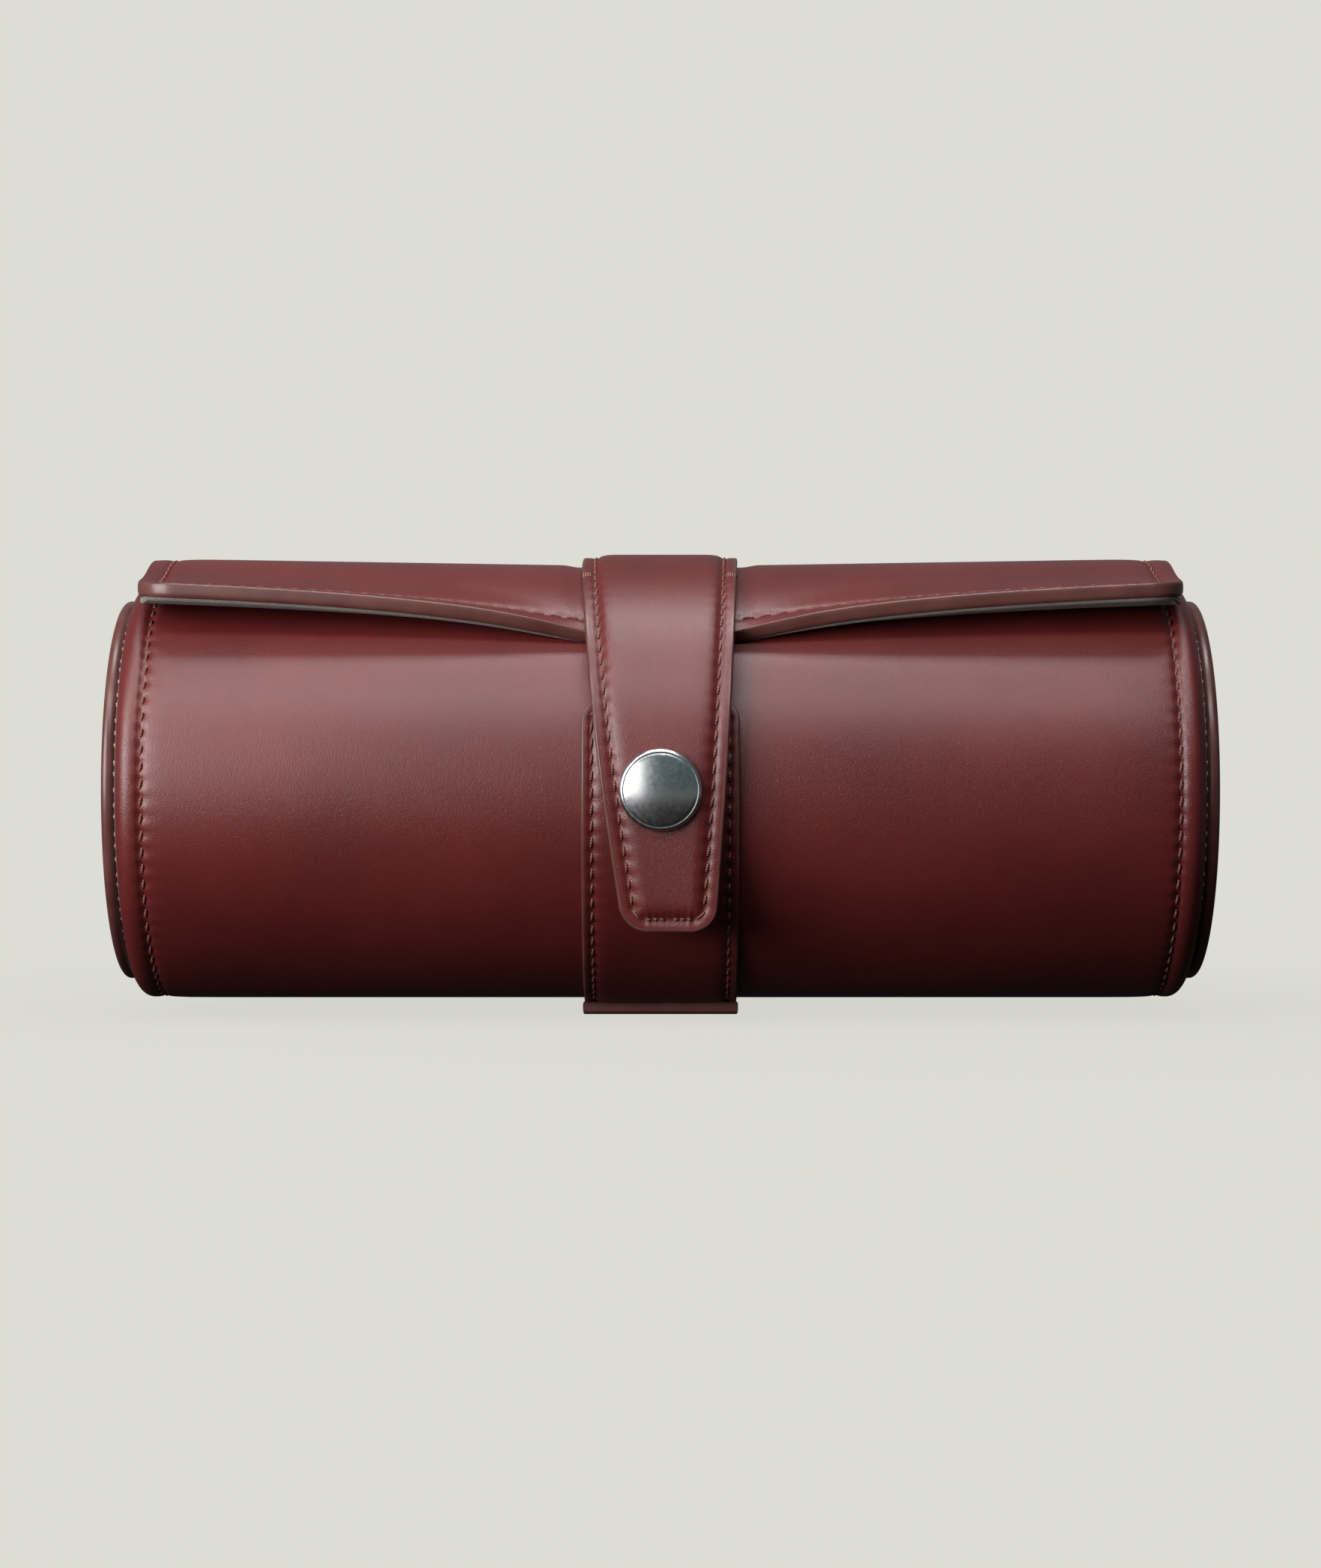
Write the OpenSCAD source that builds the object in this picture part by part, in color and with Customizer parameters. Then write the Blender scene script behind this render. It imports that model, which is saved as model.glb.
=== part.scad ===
// Three-place watch roll: a round leather trough with sewn end caps, a flap that closes over its
// top, and a tapered strap that runs from the crown down to a snap on the front.
// +X runs along the roll, -Y is the front and +Z is up. The origin is on the flat patch that the
// roll rests on, below its axis. Angles about the roll are counted from the crown towards the front.

/* [Roll] */
// Outer radius of the case leather
shell_r = 39.7; // [37:0.1:44]
// Length over both end caps
roll_len = 205.4; // [185:0.2:230]
// Thickness of the case leather
leather_t = 1.5; // [1.2:0.1:1.8]
// Thickness of the stiffening board in the case wall
board_t = 1.1; // [0.8:0.1:1.4]
// Thickness of the suede lining
suede_t = 1.0; // [0.7:0.1:1.3]
// Angle of the case's front lip, which the flap covers
lip_angle = 16; // [8:1:20]
// Angle of the leather hinge, behind the crown
hinge_angle = 96.5; // [92:0.5:104]
// Gap between the flap's edge and the case's edge at the hinge
hinge_gap = 1.4; // [1.2:0.1:2.4]

/* [End caps] */
// Thickness of the leather on an end cap
end_leather_t = 1.4; // [1.1:0.1:1.8]
// Thickness of the board in an end cap
end_board_t = 1.0; // [0.8:0.1:1.4]
// Radius of the shoulder where the case leather rolls in to meet the cap
shoulder_r = 2.9; // [2.6:0.1:3.4]
// How far the rolled case end stands past the cap's inner face
shell_reach = 0.6; // [0.4:0.1:1.2]
// Groove between a cap's rim and the rolled case end
cap_groove = 0.5; // [0.3:0.1:0.8]

/* [Flap] */
// Thickness of the flap's leather
flap_leather_t = 1.8; // [1.5:0.1:2.1]
// Thickness of the padding that raises the flap's two fields
flap_pad_t = 0.4; // [0.3:0.05:0.6]
// Length of the flap in front of the crown, along its lining
flap_front = 33.2; // [30:0.1:36]
// Gap between the flap's lining and the case
flap_gap = 0.25; // [0.2:0.05:0.5]
// Gap between the flap's side edge and the end cap
flap_side_gap = 1.4; // [0.6:0.1:1.6]
// Corner radius of the flap
flap_corner_r = 7; // [5:0.5:9]
// Width of the flat margin round a padded field
flap_margin = 5.5; // [4.5:0.1:6.5]
// Width over which the leather climbs onto the padding
pad_slope = 1.3; // [1:0.1:1.6]
// Angle to which the flap hugs the case below the strap
hug_mid = 47; // [44:1:50]
// Angle to which the flap hugs the case at its ends
hug_end = 15; // [12:1:20]
// How far the free edge turns back up towards level
flatten = 17; // [10:1:20]
// Lift of the crown at the flap's ends
crown_lift = 1.3; // [0.6:0.1:1.6]

/* [Strap and belt] */
// Width of the strap at the crown
strap_w = 29.6; // [27:0.2:32]
// Width of the strap at its tip
strap_tip_w = 17; // [14:0.5:20]
// Angle of the strap's tip
strap_tip_angle = 121.5; // [114:0.5:125]
// How far the strap's free end hangs straight below the snap, from 0 round with the roll to 1
strap_hang = 0.75; // [0.3:0.05:0.9]
// Thickness of the strap's leather
strap_leather_t = 0.9; // [0.8:0.05:1.1]
// Thickness of the strap's padding
strap_pad_t = 0.6; // [0.4:0.05:0.8]
// Thickness of the strap's lining
strap_lining_t = 0.7; // [0.5:0.05:0.9]
// Width of the strap's flat margin
strap_margin = 3.5; // [3:0.1:4]
// Gap between the strap and the flap at the crown
strap_gap = 0.2; // [0.15:0.05:0.4]
// Room between the strap and the keeper for the snap
snap_room = 2.4; // [2.3:0.1:2.8]
// Thickness of the belt that runs round the back
belt_t = 2.2; // [1.9:0.1:2.6]
// Share of the belt's thickness that is its leather
belt_leather_share = 0.6; // [0.5:0.05:0.7]
// Angle of the belt's front end, below the case
belt_end_angle = 168; // [165:1:171]
// Depth of the flat that the roll rests on
rest_cut = 0.5; // [0.3:0.1:0.7]

/* [Keeper] */
// Angle of the keeper's top edge
keeper_top_angle = 66; // [62:1:70]
// Thickness of the keeper's leather
keeper_leather_t = 0.9; // [0.8:0.1:1.2]
// Thickness of the keeper's backing
keeper_backing_t = 0.6; // [0.6:0.1:0.9]
// Corner radius of the keeper
keeper_corner_r = 4; // [2:0.5:6]

/* [Snap] */
// Diameter of the snap's cap
cap_d = 15; // [13:0.5:17]
// Height of the snap's cap
cap_h = 2.2; // [1.8:0.1:2.6]
// Angle of the snap below the crown
snap_angle = 90; // [86:1:94]
// Diameter of the rivets' shanks
shank_d = 3.2; // [2.8:0.1:3.4]
// Outer diameter of the socket
socket_d = 11; // [10.5:0.1:12]
// Diameter of the socket's mouth
mouth_d = 7.4; // [7.2:0.1:8]
// Diameter of the stud's head
stud_d = 4.4; // [4:0.1:4.6]

/* [Inside] */
// Thickness of a divider
divider_t = 2.4; // [2:0.1:3]
// How far a divider's top edge lies below the opening
divider_drop = 4; // [2:0.5:8]
// Radius of a watch cushion at its middle
cushion_r = 24; // [20:0.5:25]
// How much a cushion draws in towards its ends
cushion_draw = 3; // [1:0.5:4]
// Gap between a cushion and each side of its place
cushion_side_gap = 2; // [1:0.5:4]
// Thickness of a cushion's cover
cover_t = 1.2; // [0.8:0.1:1.6]

/* [Hidden] */
$fn = 96;
seat_gap = 0.3;
slip = 0.05;
contact = 0.02;

lining_r = shell_r - leather_t - board_t - suede_t;
board_r = lining_r + suede_t;
leather_r = board_r + board_t;
end_cap_t = end_leather_t + end_board_t + suede_t;
end_cap_r = shell_r - shoulder_r - cap_groove;
end_round = 1.2;
cap_inner = roll_len / 2 - end_cap_t;
shell_half = cap_inner + shell_reach;
keeper_w = strap_w - 0.6;
keeper_t = keeper_leather_t + keeper_backing_t;
keeper_r = shell_r + keeper_t;
roll_z = keeper_r + belt_t - rest_cut;
edge_turn = hinge_gap / 2 / shell_r * 180 / PI;
case_back_angle = 360 - hinge_angle - edge_turn;
flap_back_angle = -hinge_angle + edge_turn;

flap_t = suede_t + flap_leather_t;
flap_half = cap_inner - flap_side_gap;
flap_r = shell_r + flap_gap;
hinge_r = shell_r - flap_t;
hold_half = strap_w / 2 - 1.8;
channel_half = strap_w / 2 + 0.7;
slack_max = 0.95;
slack_len = 24;
slack_power = 0.75;
slack_rate = 1.6;

strap_t = strap_lining_t + strap_leather_t + strap_pad_t;
strap_r = flap_r + flap_t + strap_gap;
strap_edge_r = strap_r + 0.5;
strap_snap_r = keeper_r + snap_room;
strap_root_angle = 2;
root_turn = 0.8;
belt_leather_t = belt_t * belt_leather_share;
belt_backing_t = belt_t - belt_leather_t;
keeper_end_angle = 187;
ramp_start = 189;
ramp_end = 205;

place_w = (2 * cap_inner - 2 * divider_t) / 3;
place_pitch = place_w + divider_t;
divider_x = place_w / 2;
cushion_half = place_w / 2 - cushion_side_gap;
cushion_z = -(lining_r - seat_gap - cushion_r);
cushion_round = 5;

calf = "#4a1a20";
calf_dark = "#3c1519";
suede = "#6f6765";
board = "#8a7a62";
foam = "#d8d2bd";
nickel = "#c9c8c4";

function smooth(u) = u * u * (3 - 2 * u);
function clamp01(u) = min(1, max(0, u));
function mix(a, b, u) = a + (b - a) * u;
function arc_points(centre, r, a0, a1, n) =
    [for (i = [0 : n]) centre + r * [cos(mix(a0, a1, i / n)), sin(mix(a0, a1, i / n))]];
function on_roll(x, angle, r) = [x, -r * sin(angle), roll_z + r * cos(angle)];
function mirrored(half_list) =
    concat([for (i = [len(half_list) - 1 : -1 : 0]) if (half_list[i] > 0) -half_list[i]], half_list);

// The flap's lining as one sheet: behind the crown it spirals out from the hinge, in front of it
// it hugs the case and then runs free, with more slack the further it lies from the strap.
function flap_slack(x) =
    slack_max * (1 - exp(-pow(max(0, abs(x) - hold_half) / slack_len, slack_power)));
function flap_lift(x) = crown_lift * clamp01((abs(x) - channel_half) / (flap_half - channel_half));
function flap_hug(x) = mix(hug_mid, hug_end, flap_slack(x));
function flap_turn(x) = flatten * sin(90 * min(1, slack_rate * flap_slack(x)));
function flap_corner(x) = let (d = max(0, abs(x) - flap_half + flap_corner_r))
    flap_corner_r - sqrt(max(0, flap_corner_r * flap_corner_r - d * d));
function flap_reach(x) = flap_front - flap_corner(x);
function back_r(x, angle) =
    mix(hinge_r, flap_r + flap_lift(x), smooth(clamp01(1 - angle / flap_back_angle)));
function back_point(x, angle, t) = on_roll(x, angle, back_r(x, angle) + t);
function front_point(x, s, t) =
    let (
        r = flap_r + flap_lift(x),
        hug = min(flap_hug(x) * PI / 180 * r, flap_front - 0.4),
        a = min(s, hug) / r * 180 / PI,
        free = flap_front - hug,
        u = max(0, s - hug),
        turn = flap_turn(x),
        slope = a - turn * u / free,
        bend = turn * PI / 180 / free,
        run = bend < 0.0001 ? u * cos(a) : (sin(a) - sin(slope)) / bend,
        drop = bend < 0.0001 ? u * sin(a) : (cos(slope) - cos(a)) / bend
    )
    [x, -r * sin(a) - run - t * sin(slope), roll_z + r * cos(a) - drop + t * cos(slope)];

back_steps = 12;
front_steps = 5;
flap_rows = concat(
    [for (i = [0 : back_steps]) [0, flap_back_angle * (1 - i / back_steps)]],
    [for (i = [1 : front_steps]) [1, i / front_steps]],
    [[2, flap_margin - pad_slope], [2, 0]]
);
field_row = back_steps + front_steps;
function row_s(row, x) = row[0] == 1 ? row[1] * (flap_reach(x) - flap_margin) : flap_reach(x) - row[1];
function flap_point(row, x, t) = row[0] == 0 ? back_point(x, row[1], t) : front_point(x, row_s(row, x), t);
field_in = channel_half + 2;
field_out = flap_half - flap_margin;
field_steps = 9;
flap_columns = mirrored(concat(
    [0, hold_half / 2, hold_half, channel_half],
    [for (i = [0 : field_steps]) mix(field_in, field_out, i / field_steps)],
    [flap_half - flap_margin + pad_slope, flap_half - 1.9, flap_half - 0.6, flap_half]
));
function in_field(i, x) = i <= field_row && abs(x) > field_in - 0.01 && abs(x) < field_out + 0.01;

// A closed solid between two grids of points, with both triangulated alike.
module slab(lower, upper) {
    rows = len(lower);
    cols = len(lower[0]);
    flat_points = concat([for (row = lower, p = row) p], [for (row = upper, p = row) p]);
    n = rows * cols;
    function id(i, j) = i * cols + j;
    sheets = [for (i = [0 : rows - 2], j = [0 : cols - 2]) each [
        [id(i, j), id(i + 1, j), id(i + 1, j + 1)],
        [id(i, j), id(i + 1, j + 1), id(i, j + 1)],
        [n + id(i, j), n + id(i + 1, j + 1), n + id(i + 1, j)],
        [n + id(i, j), n + id(i, j + 1), n + id(i + 1, j + 1)]
    ]];
    ends = [for (j = [0 : cols - 2]) each [
        [id(0, j), id(0, j + 1), n + id(0, j + 1)],
        [id(0, j), n + id(0, j + 1), n + id(0, j)],
        [id(rows - 1, j), n + id(rows - 1, j + 1), id(rows - 1, j + 1)],
        [id(rows - 1, j), n + id(rows - 1, j), n + id(rows - 1, j + 1)]
    ]];
    sides = [for (i = [0 : rows - 2]) each [
        [id(i, 0), n + id(i + 1, 0), id(i + 1, 0)],
        [id(i, 0), n + id(i, 0), n + id(i + 1, 0)],
        [id(i, cols - 1), id(i + 1, cols - 1), n + id(i + 1, cols - 1)],
        [id(i, cols - 1), n + id(i + 1, cols - 1), n + id(i, cols - 1)]
    ]];
    polyhedron(flat_points, concat(sheets, ends, sides));
}

module along_roll(x0, x1) {
    translate([x0, 0, roll_z]) rotate([90, 0, 90]) linear_extrude(x1 - x0) children();
}

module round_roll(a0, a1) {
    translate([0, 0, roll_z]) rotate([0, 90, 0]) rotate([0, 0, a0 + 180])
        rotate_extrude(angle = a1 - a0) children();
}

module at_angle(angle) {
    translate([0, 0, roll_z]) rotate([angle, 0, 0]) children();
}

module ring_sector(r0, r1, a0, a1) {
    steps = ceil((a1 - a0) / 40);
    intersection() {
        difference() {
            circle(r1);
            circle(r0);
        }
        polygon(concat([[0, 0]], [for (i = [0 : steps])
            let (a = mix(a0, a1, i / steps)) 2 * r1 * [-sin(a), cos(a)]]));
    }
}

module end_disc(side, x0, x1, rounded) {
    bevel = rounded ? end_round : 0;
    profile = rounded
        ? concat([[0, x0], [end_cap_r, x0]],
            arc_points([end_cap_r - bevel, x1 - bevel], bevel, 0, 90, 8), [[0, x1]])
        : [[0, x0], [end_cap_r, x0], [end_cap_r, x1], [0, x1]];
    translate([0, 0, roll_z]) rotate([0, 90 * side, 0]) rotate_extrude() polygon(profile);
}

module case_leather() {
    half_profile = concat(
        arc_points([shell_r - shoulder_r, shell_half - shoulder_r], shoulder_r, 0, 90, 10),
        [[shell_r - shoulder_r, cap_inner], [leather_r, cap_inner]]
    );
    other_half = [for (p = reversed(half_profile)) [p[0], -p[1]]];
    color(calf) round_roll(lip_angle, case_back_angle) polygon(concat(half_profile, other_half));
}

module case_layer(r0, r1) {
    round_roll(lip_angle, case_back_angle) translate([r0, -cap_inner]) square([r1 - r0, 2 * cap_inner]);
}

module case_board() {
    color(board) case_layer(board_r, leather_r);
}

module case_lining() {
    color(suede) case_layer(lining_r, board_r);
}

module end_leather(side) {
    color(calf) end_disc(side, roll_len / 2 - end_leather_t, roll_len / 2, true);
}

module end_board(side) {
    color(board) end_disc(side, cap_inner + suede_t, cap_inner + suede_t + end_board_t, false);
}

module end_lining(side) {
    color(suede) end_disc(side, cap_inner, cap_inner + suede_t, false);
}

// Outline of a divider: the trough's round with its top cut along the opening.
module divider_outline(inset) {
    r = lining_r - slip - inset;
    lip = lining_r * [-sin(lip_angle), cos(lip_angle)];
    back = lining_r * [-sin(case_back_angle), cos(case_back_angle)];
    along = (back - lip) / norm(back - lip);
    down = [along[1], -along[0]];
    drop = divider_drop + inset;
    intersection() {
        circle(r);
        polygon([lip - 20 * along + drop * down, back + 20 * along + drop * down,
            back + 20 * along + 3 * r * down, lip - 20 * along + 3 * r * down]);
    }
}

module divider_board(side) {
    skin = divider_t / 4;
    x0 = side * (divider_x + divider_t / 2) - divider_t / 2 + skin;
    color(board) along_roll(x0, x0 + divider_t - 2 * skin) divider_outline(skin);
}

module divider_suede(side) {
    skin = divider_t / 4;
    x0 = side * (divider_x + divider_t / 2) - divider_t / 2;
    color(suede) difference() {
        along_roll(x0, x0 + divider_t) divider_outline(0);
        along_roll(x0 + skin, x0 + divider_t - skin) divider_outline(skin);
    }
}

// A cushion is a barrel that draws in towards rounded ends.
module cushion_solid(place, inset) {
    r = cushion_r - inset;
    half = cushion_half - inset;
    round_r = cushion_round - inset;
    crown = [for (i = [-8 : 8]) let (u = i / 8)
        [r - cushion_draw * u * u, u * (half - round_r)]];
    end_r = r - cushion_draw - round_r;
    right = arc_points([end_r, half - round_r], round_r, 0, 90, 6);
    left = arc_points([end_r, round_r - half], round_r, -90, 0, 6);
    translate([place * place_pitch, 0, roll_z + cushion_z]) rotate([0, 90, 0]) rotate_extrude()
        polygon(concat([[0, -half]], left, [for (i = [1 : len(crown) - 2]) crown[i]], right, [[0, half]]));
}

module cushion_cover(place) {
    color(suede) difference() {
        cushion_solid(place, 0);
        cushion_solid(place, cover_t);
    }
}

module cushion_foam(place) {
    color(foam) cushion_solid(place, cover_t);
}

// The keeper's round is cut into short chords, as the belt's is, and its two upper corners are rounded.
keeper_steps = 40;
keeper_step = (keeper_end_angle - keeper_top_angle) / keeper_steps;
keeper_seat_r = shell_r / cos(keeper_step / 2);
function keeper_points(r) = [for (i = [0 : keeper_steps])
    let (a = keeper_top_angle + i * keeper_step) r * [-sin(a), cos(a)]];
function reversed(list) = [for (i = [len(list) - 1 : -1 : 0]) list[i]];

module keeper_corners() {
    r = keeper_corner_r;
    corner = concat([[r + 1, r + 1], [0, r + 1]], arc_points([0, 0], r, 90, 0, 8), [[r + 1, 0]]);
    at_angle(keeper_top_angle) for (side = [-1, 1]) translate([0, 0, shell_r - 3])
        linear_extrude(keeper_t + 6)
            polygon([for (p = corner) [side * (keeper_w / 2 - r + p[0]), p[1] - r]]);
}

module keeper_layer(r0, r1) {
    difference() {
        along_roll(-keeper_w / 2, keeper_w / 2)
            polygon(concat(keeper_points(r0), reversed(keeper_points(r1))));
        keeper_corners();
    }
}

module snap_bore(d) {
    at_angle(snap_angle) translate([0, 0, lining_r]) cylinder(h = 20, d = d);
}

rivet_flange_d = 8;

module keeper_leather() {
    color(calf) difference() {
        keeper_layer(shell_r + keeper_backing_t, keeper_r);
        snap_bore(shank_d + 0.2);
    }
}

module keeper_backing() {
    color(calf_dark) difference() {
        keeper_layer(keeper_seat_r, shell_r + keeper_backing_t);
        snap_bore(rivet_flange_d + 0.4);
    }
}

// The belt follows the case from the hinge and climbs over the keeper's end below the roll. Its
// outline is cut into short chords that touch the round case from outside.
belt_steps = 32;
belt_step = (case_back_angle - belt_end_angle) / belt_steps;
function belt_inner_r(angle) =
    mix(keeper_r, shell_r, smooth(clamp01((angle - ramp_start) / (ramp_end - ramp_start)))) / cos(belt_step / 2);
function belt_points(t) = [for (i = [0 : belt_steps])
    let (a = belt_end_angle + i * belt_step) (belt_inner_r(a) + t) * [-sin(a), cos(a)]];

module belt_layer(t0, t1) {
    difference() {
        along_roll(-strap_w / 2, strap_w / 2) polygon(concat(belt_points(t0), reversed(belt_points(t1))));
        translate([-roll_len, -roll_len, -roll_len]) cube([2 * roll_len, 2 * roll_len, roll_len]);
    }
}

module belt_leather() {
    color(calf) belt_layer(belt_backing_t, belt_t);
}

module belt_backing() {
    color(calf_dark) belt_layer(0, belt_backing_t);
}

socket_base_t = 0.4;
socket_depth = 0.6;
socket_turn = asin(socket_d / 2 / strap_snap_r);
socket_top = min(strap_inner_r(snap_angle - socket_turn), strap_inner_r(snap_angle + socket_turn))
    * cos(socket_turn) - seat_gap / 3;
stud_base_h = 0.45;
stud_roof = 0.5;
stud_h = socket_top - socket_base_t - 2 * slip - keeper_r - contact;

module snap_stud() {
    head = arc_points([0, 0], 1, 0, 90, 6);
    head_h = 0.6;
    color(nickel) at_angle(snap_angle) translate([0, 0, keeper_r + contact]) difference() {
        rotate_extrude() polygon(concat(
            [[0, 0], [stud_d / 2 + 1.2, 0], [stud_d / 2 + 1, stud_base_h], [stud_d / 2 - 0.5, stud_base_h + 0.1]],
            [for (p = head) [p[0] * stud_d / 2, stud_h - head_h + p[1] * head_h]]
        ));
        translate([0, 0, -1]) cylinder(h = 1 + stud_h - stud_roof, d = shank_d + 2 * slip);
    }
}

module snap_rivet() {
    flange_top = sqrt(pow(shell_r + keeper_backing_t, 2) - pow(rivet_flange_d / 2, 2)) - contact;
    flange_low = shell_r + contact;
    color(nickel) at_angle(snap_angle) union() {
        translate([0, 0, flange_low]) cylinder(h = flange_top - flange_low, d = rivet_flange_d);
        translate([0, 0, flange_low]) cylinder(h = keeper_r + stud_h - stud_roof - slip - flange_low, d = shank_d);
    }
}

function flap_grid(low, high, i0, i1, columns) =
    [for (i = [i0 : i1]) [for (x = columns) flap_point(flap_rows[i], x, in_field(i, x) ? high : low)]];

last_row = len(flap_rows) - 1;

module flap_leather() {
    color(calf) slab(
        flap_grid(suede_t, suede_t + flap_pad_t, 0, last_row, flap_columns),
        flap_grid(flap_t, flap_t + flap_pad_t, 0, last_row, flap_columns)
    );
}

module flap_padding() {
    for (side = [-1, 1]) {
        columns = [for (x = flap_columns) if (side * x > field_in - 0.01 && side * x < field_out + 0.01) x];
        color(foam) slab(
            flap_grid(suede_t, suede_t, 0, field_row, columns),
            flap_grid(suede_t, suede_t + flap_pad_t, 0, field_row, columns)
        );
    }
}

module flap_lining() {
    color(suede) slab(
        flap_grid(0, 0, 0, last_row, flap_columns),
        flap_grid(suede_t, suede_t, 0, last_row, flap_columns)
    );
}

// Lines across a strap of half width w: its edges, its flat margins and its raised middle.
function strap_lines(w) = [-w, strap_margin - 0.8 - w, strap_margin - w, 0, w - strap_margin, w - strap_margin + 0.8, w];
function strap_raised(j) = j >= 2 && j <= 4;

flap_belt_angles = concat(
    [for (i = [0 : back_steps]) flap_back_angle * (1 - i / back_steps)],
    [strap_root_angle - root_turn]
);
function flap_outer_r(angle) =
    flap_t + (angle < 0 ? back_r(0, angle) : flap_r);
function flap_belt_grid(low, high) = [for (a = flap_belt_angles)
    let (lines = strap_lines(strap_w / 2), rise = smooth(clamp01((a - flap_back_angle) / 20)))
    [for (j = [0 : 6]) on_roll(lines[j], a, flap_outer_r(a) + contact + (strap_raised(j) ? high : mix(high, low, rise)))]];

module flap_belt_leather() {
    color(calf) slab(
        flap_belt_grid(strap_lining_t, belt_backing_t),
        flap_belt_grid(strap_lining_t + strap_leather_t, belt_t)
    );
}

module flap_belt_backing() {
    color(calf_dark) slab(
        flap_belt_grid(0, 0),
        flap_belt_grid(strap_lining_t, belt_backing_t)
    );
}

// The strap's inner radius: over the flap, out past its edge, across the snap and in to the tip.
function strap_inner_r(angle) =
    angle < hug_mid ? mix(strap_r, strap_edge_r, smooth(clamp01(angle / hug_mid)))
    : angle < snap_angle ? mix(strap_edge_r, strap_snap_r, (angle - hug_mid) / (snap_angle - hug_mid))
    : strap_snap_r * mix(1, 1 / cos(angle - snap_angle), strap_hang);
function strap_half_w(angle) = mix(strap_w, strap_tip_w, pow(angle / strap_tip_angle, 2)) / 2;
strap_steps = 20;
tip_round = 1.4;
tip_turn = tip_round / strap_snap_r * 180 / PI;
strap_angles = concat(
    [for (i = [0 : strap_steps]) mix(strap_root_angle + root_turn, strap_tip_angle - tip_turn, i / strap_steps)],
    [strap_tip_angle - tip_turn / 3, strap_tip_angle]
);
function strap_grid(low, high, cut_margin) = [for (i = [0 : len(strap_angles) - 1])
    let (
        a = strap_angles[i],
        last = i - strap_steps,
        w = strap_half_w(a) - (last == 2 ? tip_round * 0.7 : last == 1 ? tip_round * 0.2 : 0),
        lines = strap_lines(w)
    )
    [for (j = cut_margin ? [2 : 4] : [0 : 6])
        on_roll(lines[j], a, strap_inner_r(a) + (strap_raised(j) && i < strap_steps ? high : low))]];
function without_tip(grid) = [for (i = [0 : strap_steps - 1]) grid[i]];

module strap_leather() {
    color(calf) difference() {
        slab(
            strap_grid(strap_lining_t, strap_lining_t + strap_pad_t, false),
            strap_grid(strap_lining_t + strap_leather_t, strap_t, false)
        );
        snap_bore(shank_d + 0.4);
    }
}

module strap_padding() {
    color(foam) difference() {
        slab(
            without_tip(strap_grid(strap_lining_t, strap_lining_t, true)),
            without_tip(strap_grid(strap_lining_t, strap_lining_t + strap_pad_t, true))
        );
        snap_bore(shank_d + 0.4);
    }
}

module strap_lining() {
    color(calf_dark) difference() {
        slab(strap_grid(0, 0, false), strap_grid(strap_lining_t, strap_lining_t, false));
        snap_bore(shank_d + 0.4);
    }
}

// The socket is a cup whose mouth faces the stud.
module snap_socket() {
    rim = (socket_d - mouth_d) / 2;
    color(nickel) at_angle(snap_angle) translate([0, 0, socket_top - socket_base_t - socket_depth]) rotate_extrude()
        polygon(concat(
            [[mouth_d / 2 + 0.3, 0], [socket_d / 2 - 0.3, 0], [socket_d / 2, 0.3],
                [socket_d / 2, socket_depth + socket_base_t], [shank_d / 2 + slip, socket_depth + socket_base_t],
                [shank_d / 2 + slip, socket_depth], [mouth_d / 2, socket_depth], [mouth_d / 2, min(0.3, rim / 3)]]
        ));
}

// The cap is a shallow dome with a rolled rim round a flat centre, on the shank that holds the socket.
module snap_cap() {
    r = cap_d / 2;
    rim_r = 0.9;
    seat = strap_snap_r + strap_t + slip;
    profile = concat(
        [[0, 0], [r - rim_r, 0]],
        arc_points([r - rim_r, rim_r], rim_r, -90, 70, 10),
        [[r - 1.9, cap_h - 0.55], [r - 2.3, cap_h - 0.35], [r - 4, cap_h - 0.1], [0, cap_h]]
    );
    color(nickel) at_angle(snap_angle) union() {
        translate([0, 0, seat]) rotate_extrude() polygon(profile);
        translate([0, 0, socket_top - socket_base_t]) cylinder(h = seat - socket_top + socket_base_t + 0.5, d = shank_d);
    }
}

case_leather();
case_board();
case_lining();
end_leather(-1);  // end_leather_left
end_board(-1);  // end_board_left
end_lining(-1);  // end_lining_left
end_leather(1);  // end_leather_right
end_board(1);  // end_board_right
end_lining(1);  // end_lining_right
divider_board(-1);  // divider_board_left
divider_suede(-1);  // divider_suede_left
divider_board(1);  // divider_board_right
divider_suede(1);  // divider_suede_right
cushion_cover(-1);  // cushion_cover_left
cushion_foam(-1);  // cushion_foam_left
cushion_cover(0);  // cushion_cover_centre
cushion_foam(0);  // cushion_foam_centre
cushion_cover(1);  // cushion_cover_right
cushion_foam(1);  // cushion_foam_right
keeper_leather();
keeper_backing();
belt_leather();
belt_backing();
snap_stud();
snap_rivet();
flap_leather();
flap_padding();
flap_lining();
flap_belt_leather();
flap_belt_backing();
strap_leather();
strap_padding();
strap_lining();
snap_cap();
snap_socket();
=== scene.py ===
import bisect
import math

import bmesh
import bpy
from mathutils import Matrix, Vector


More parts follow.
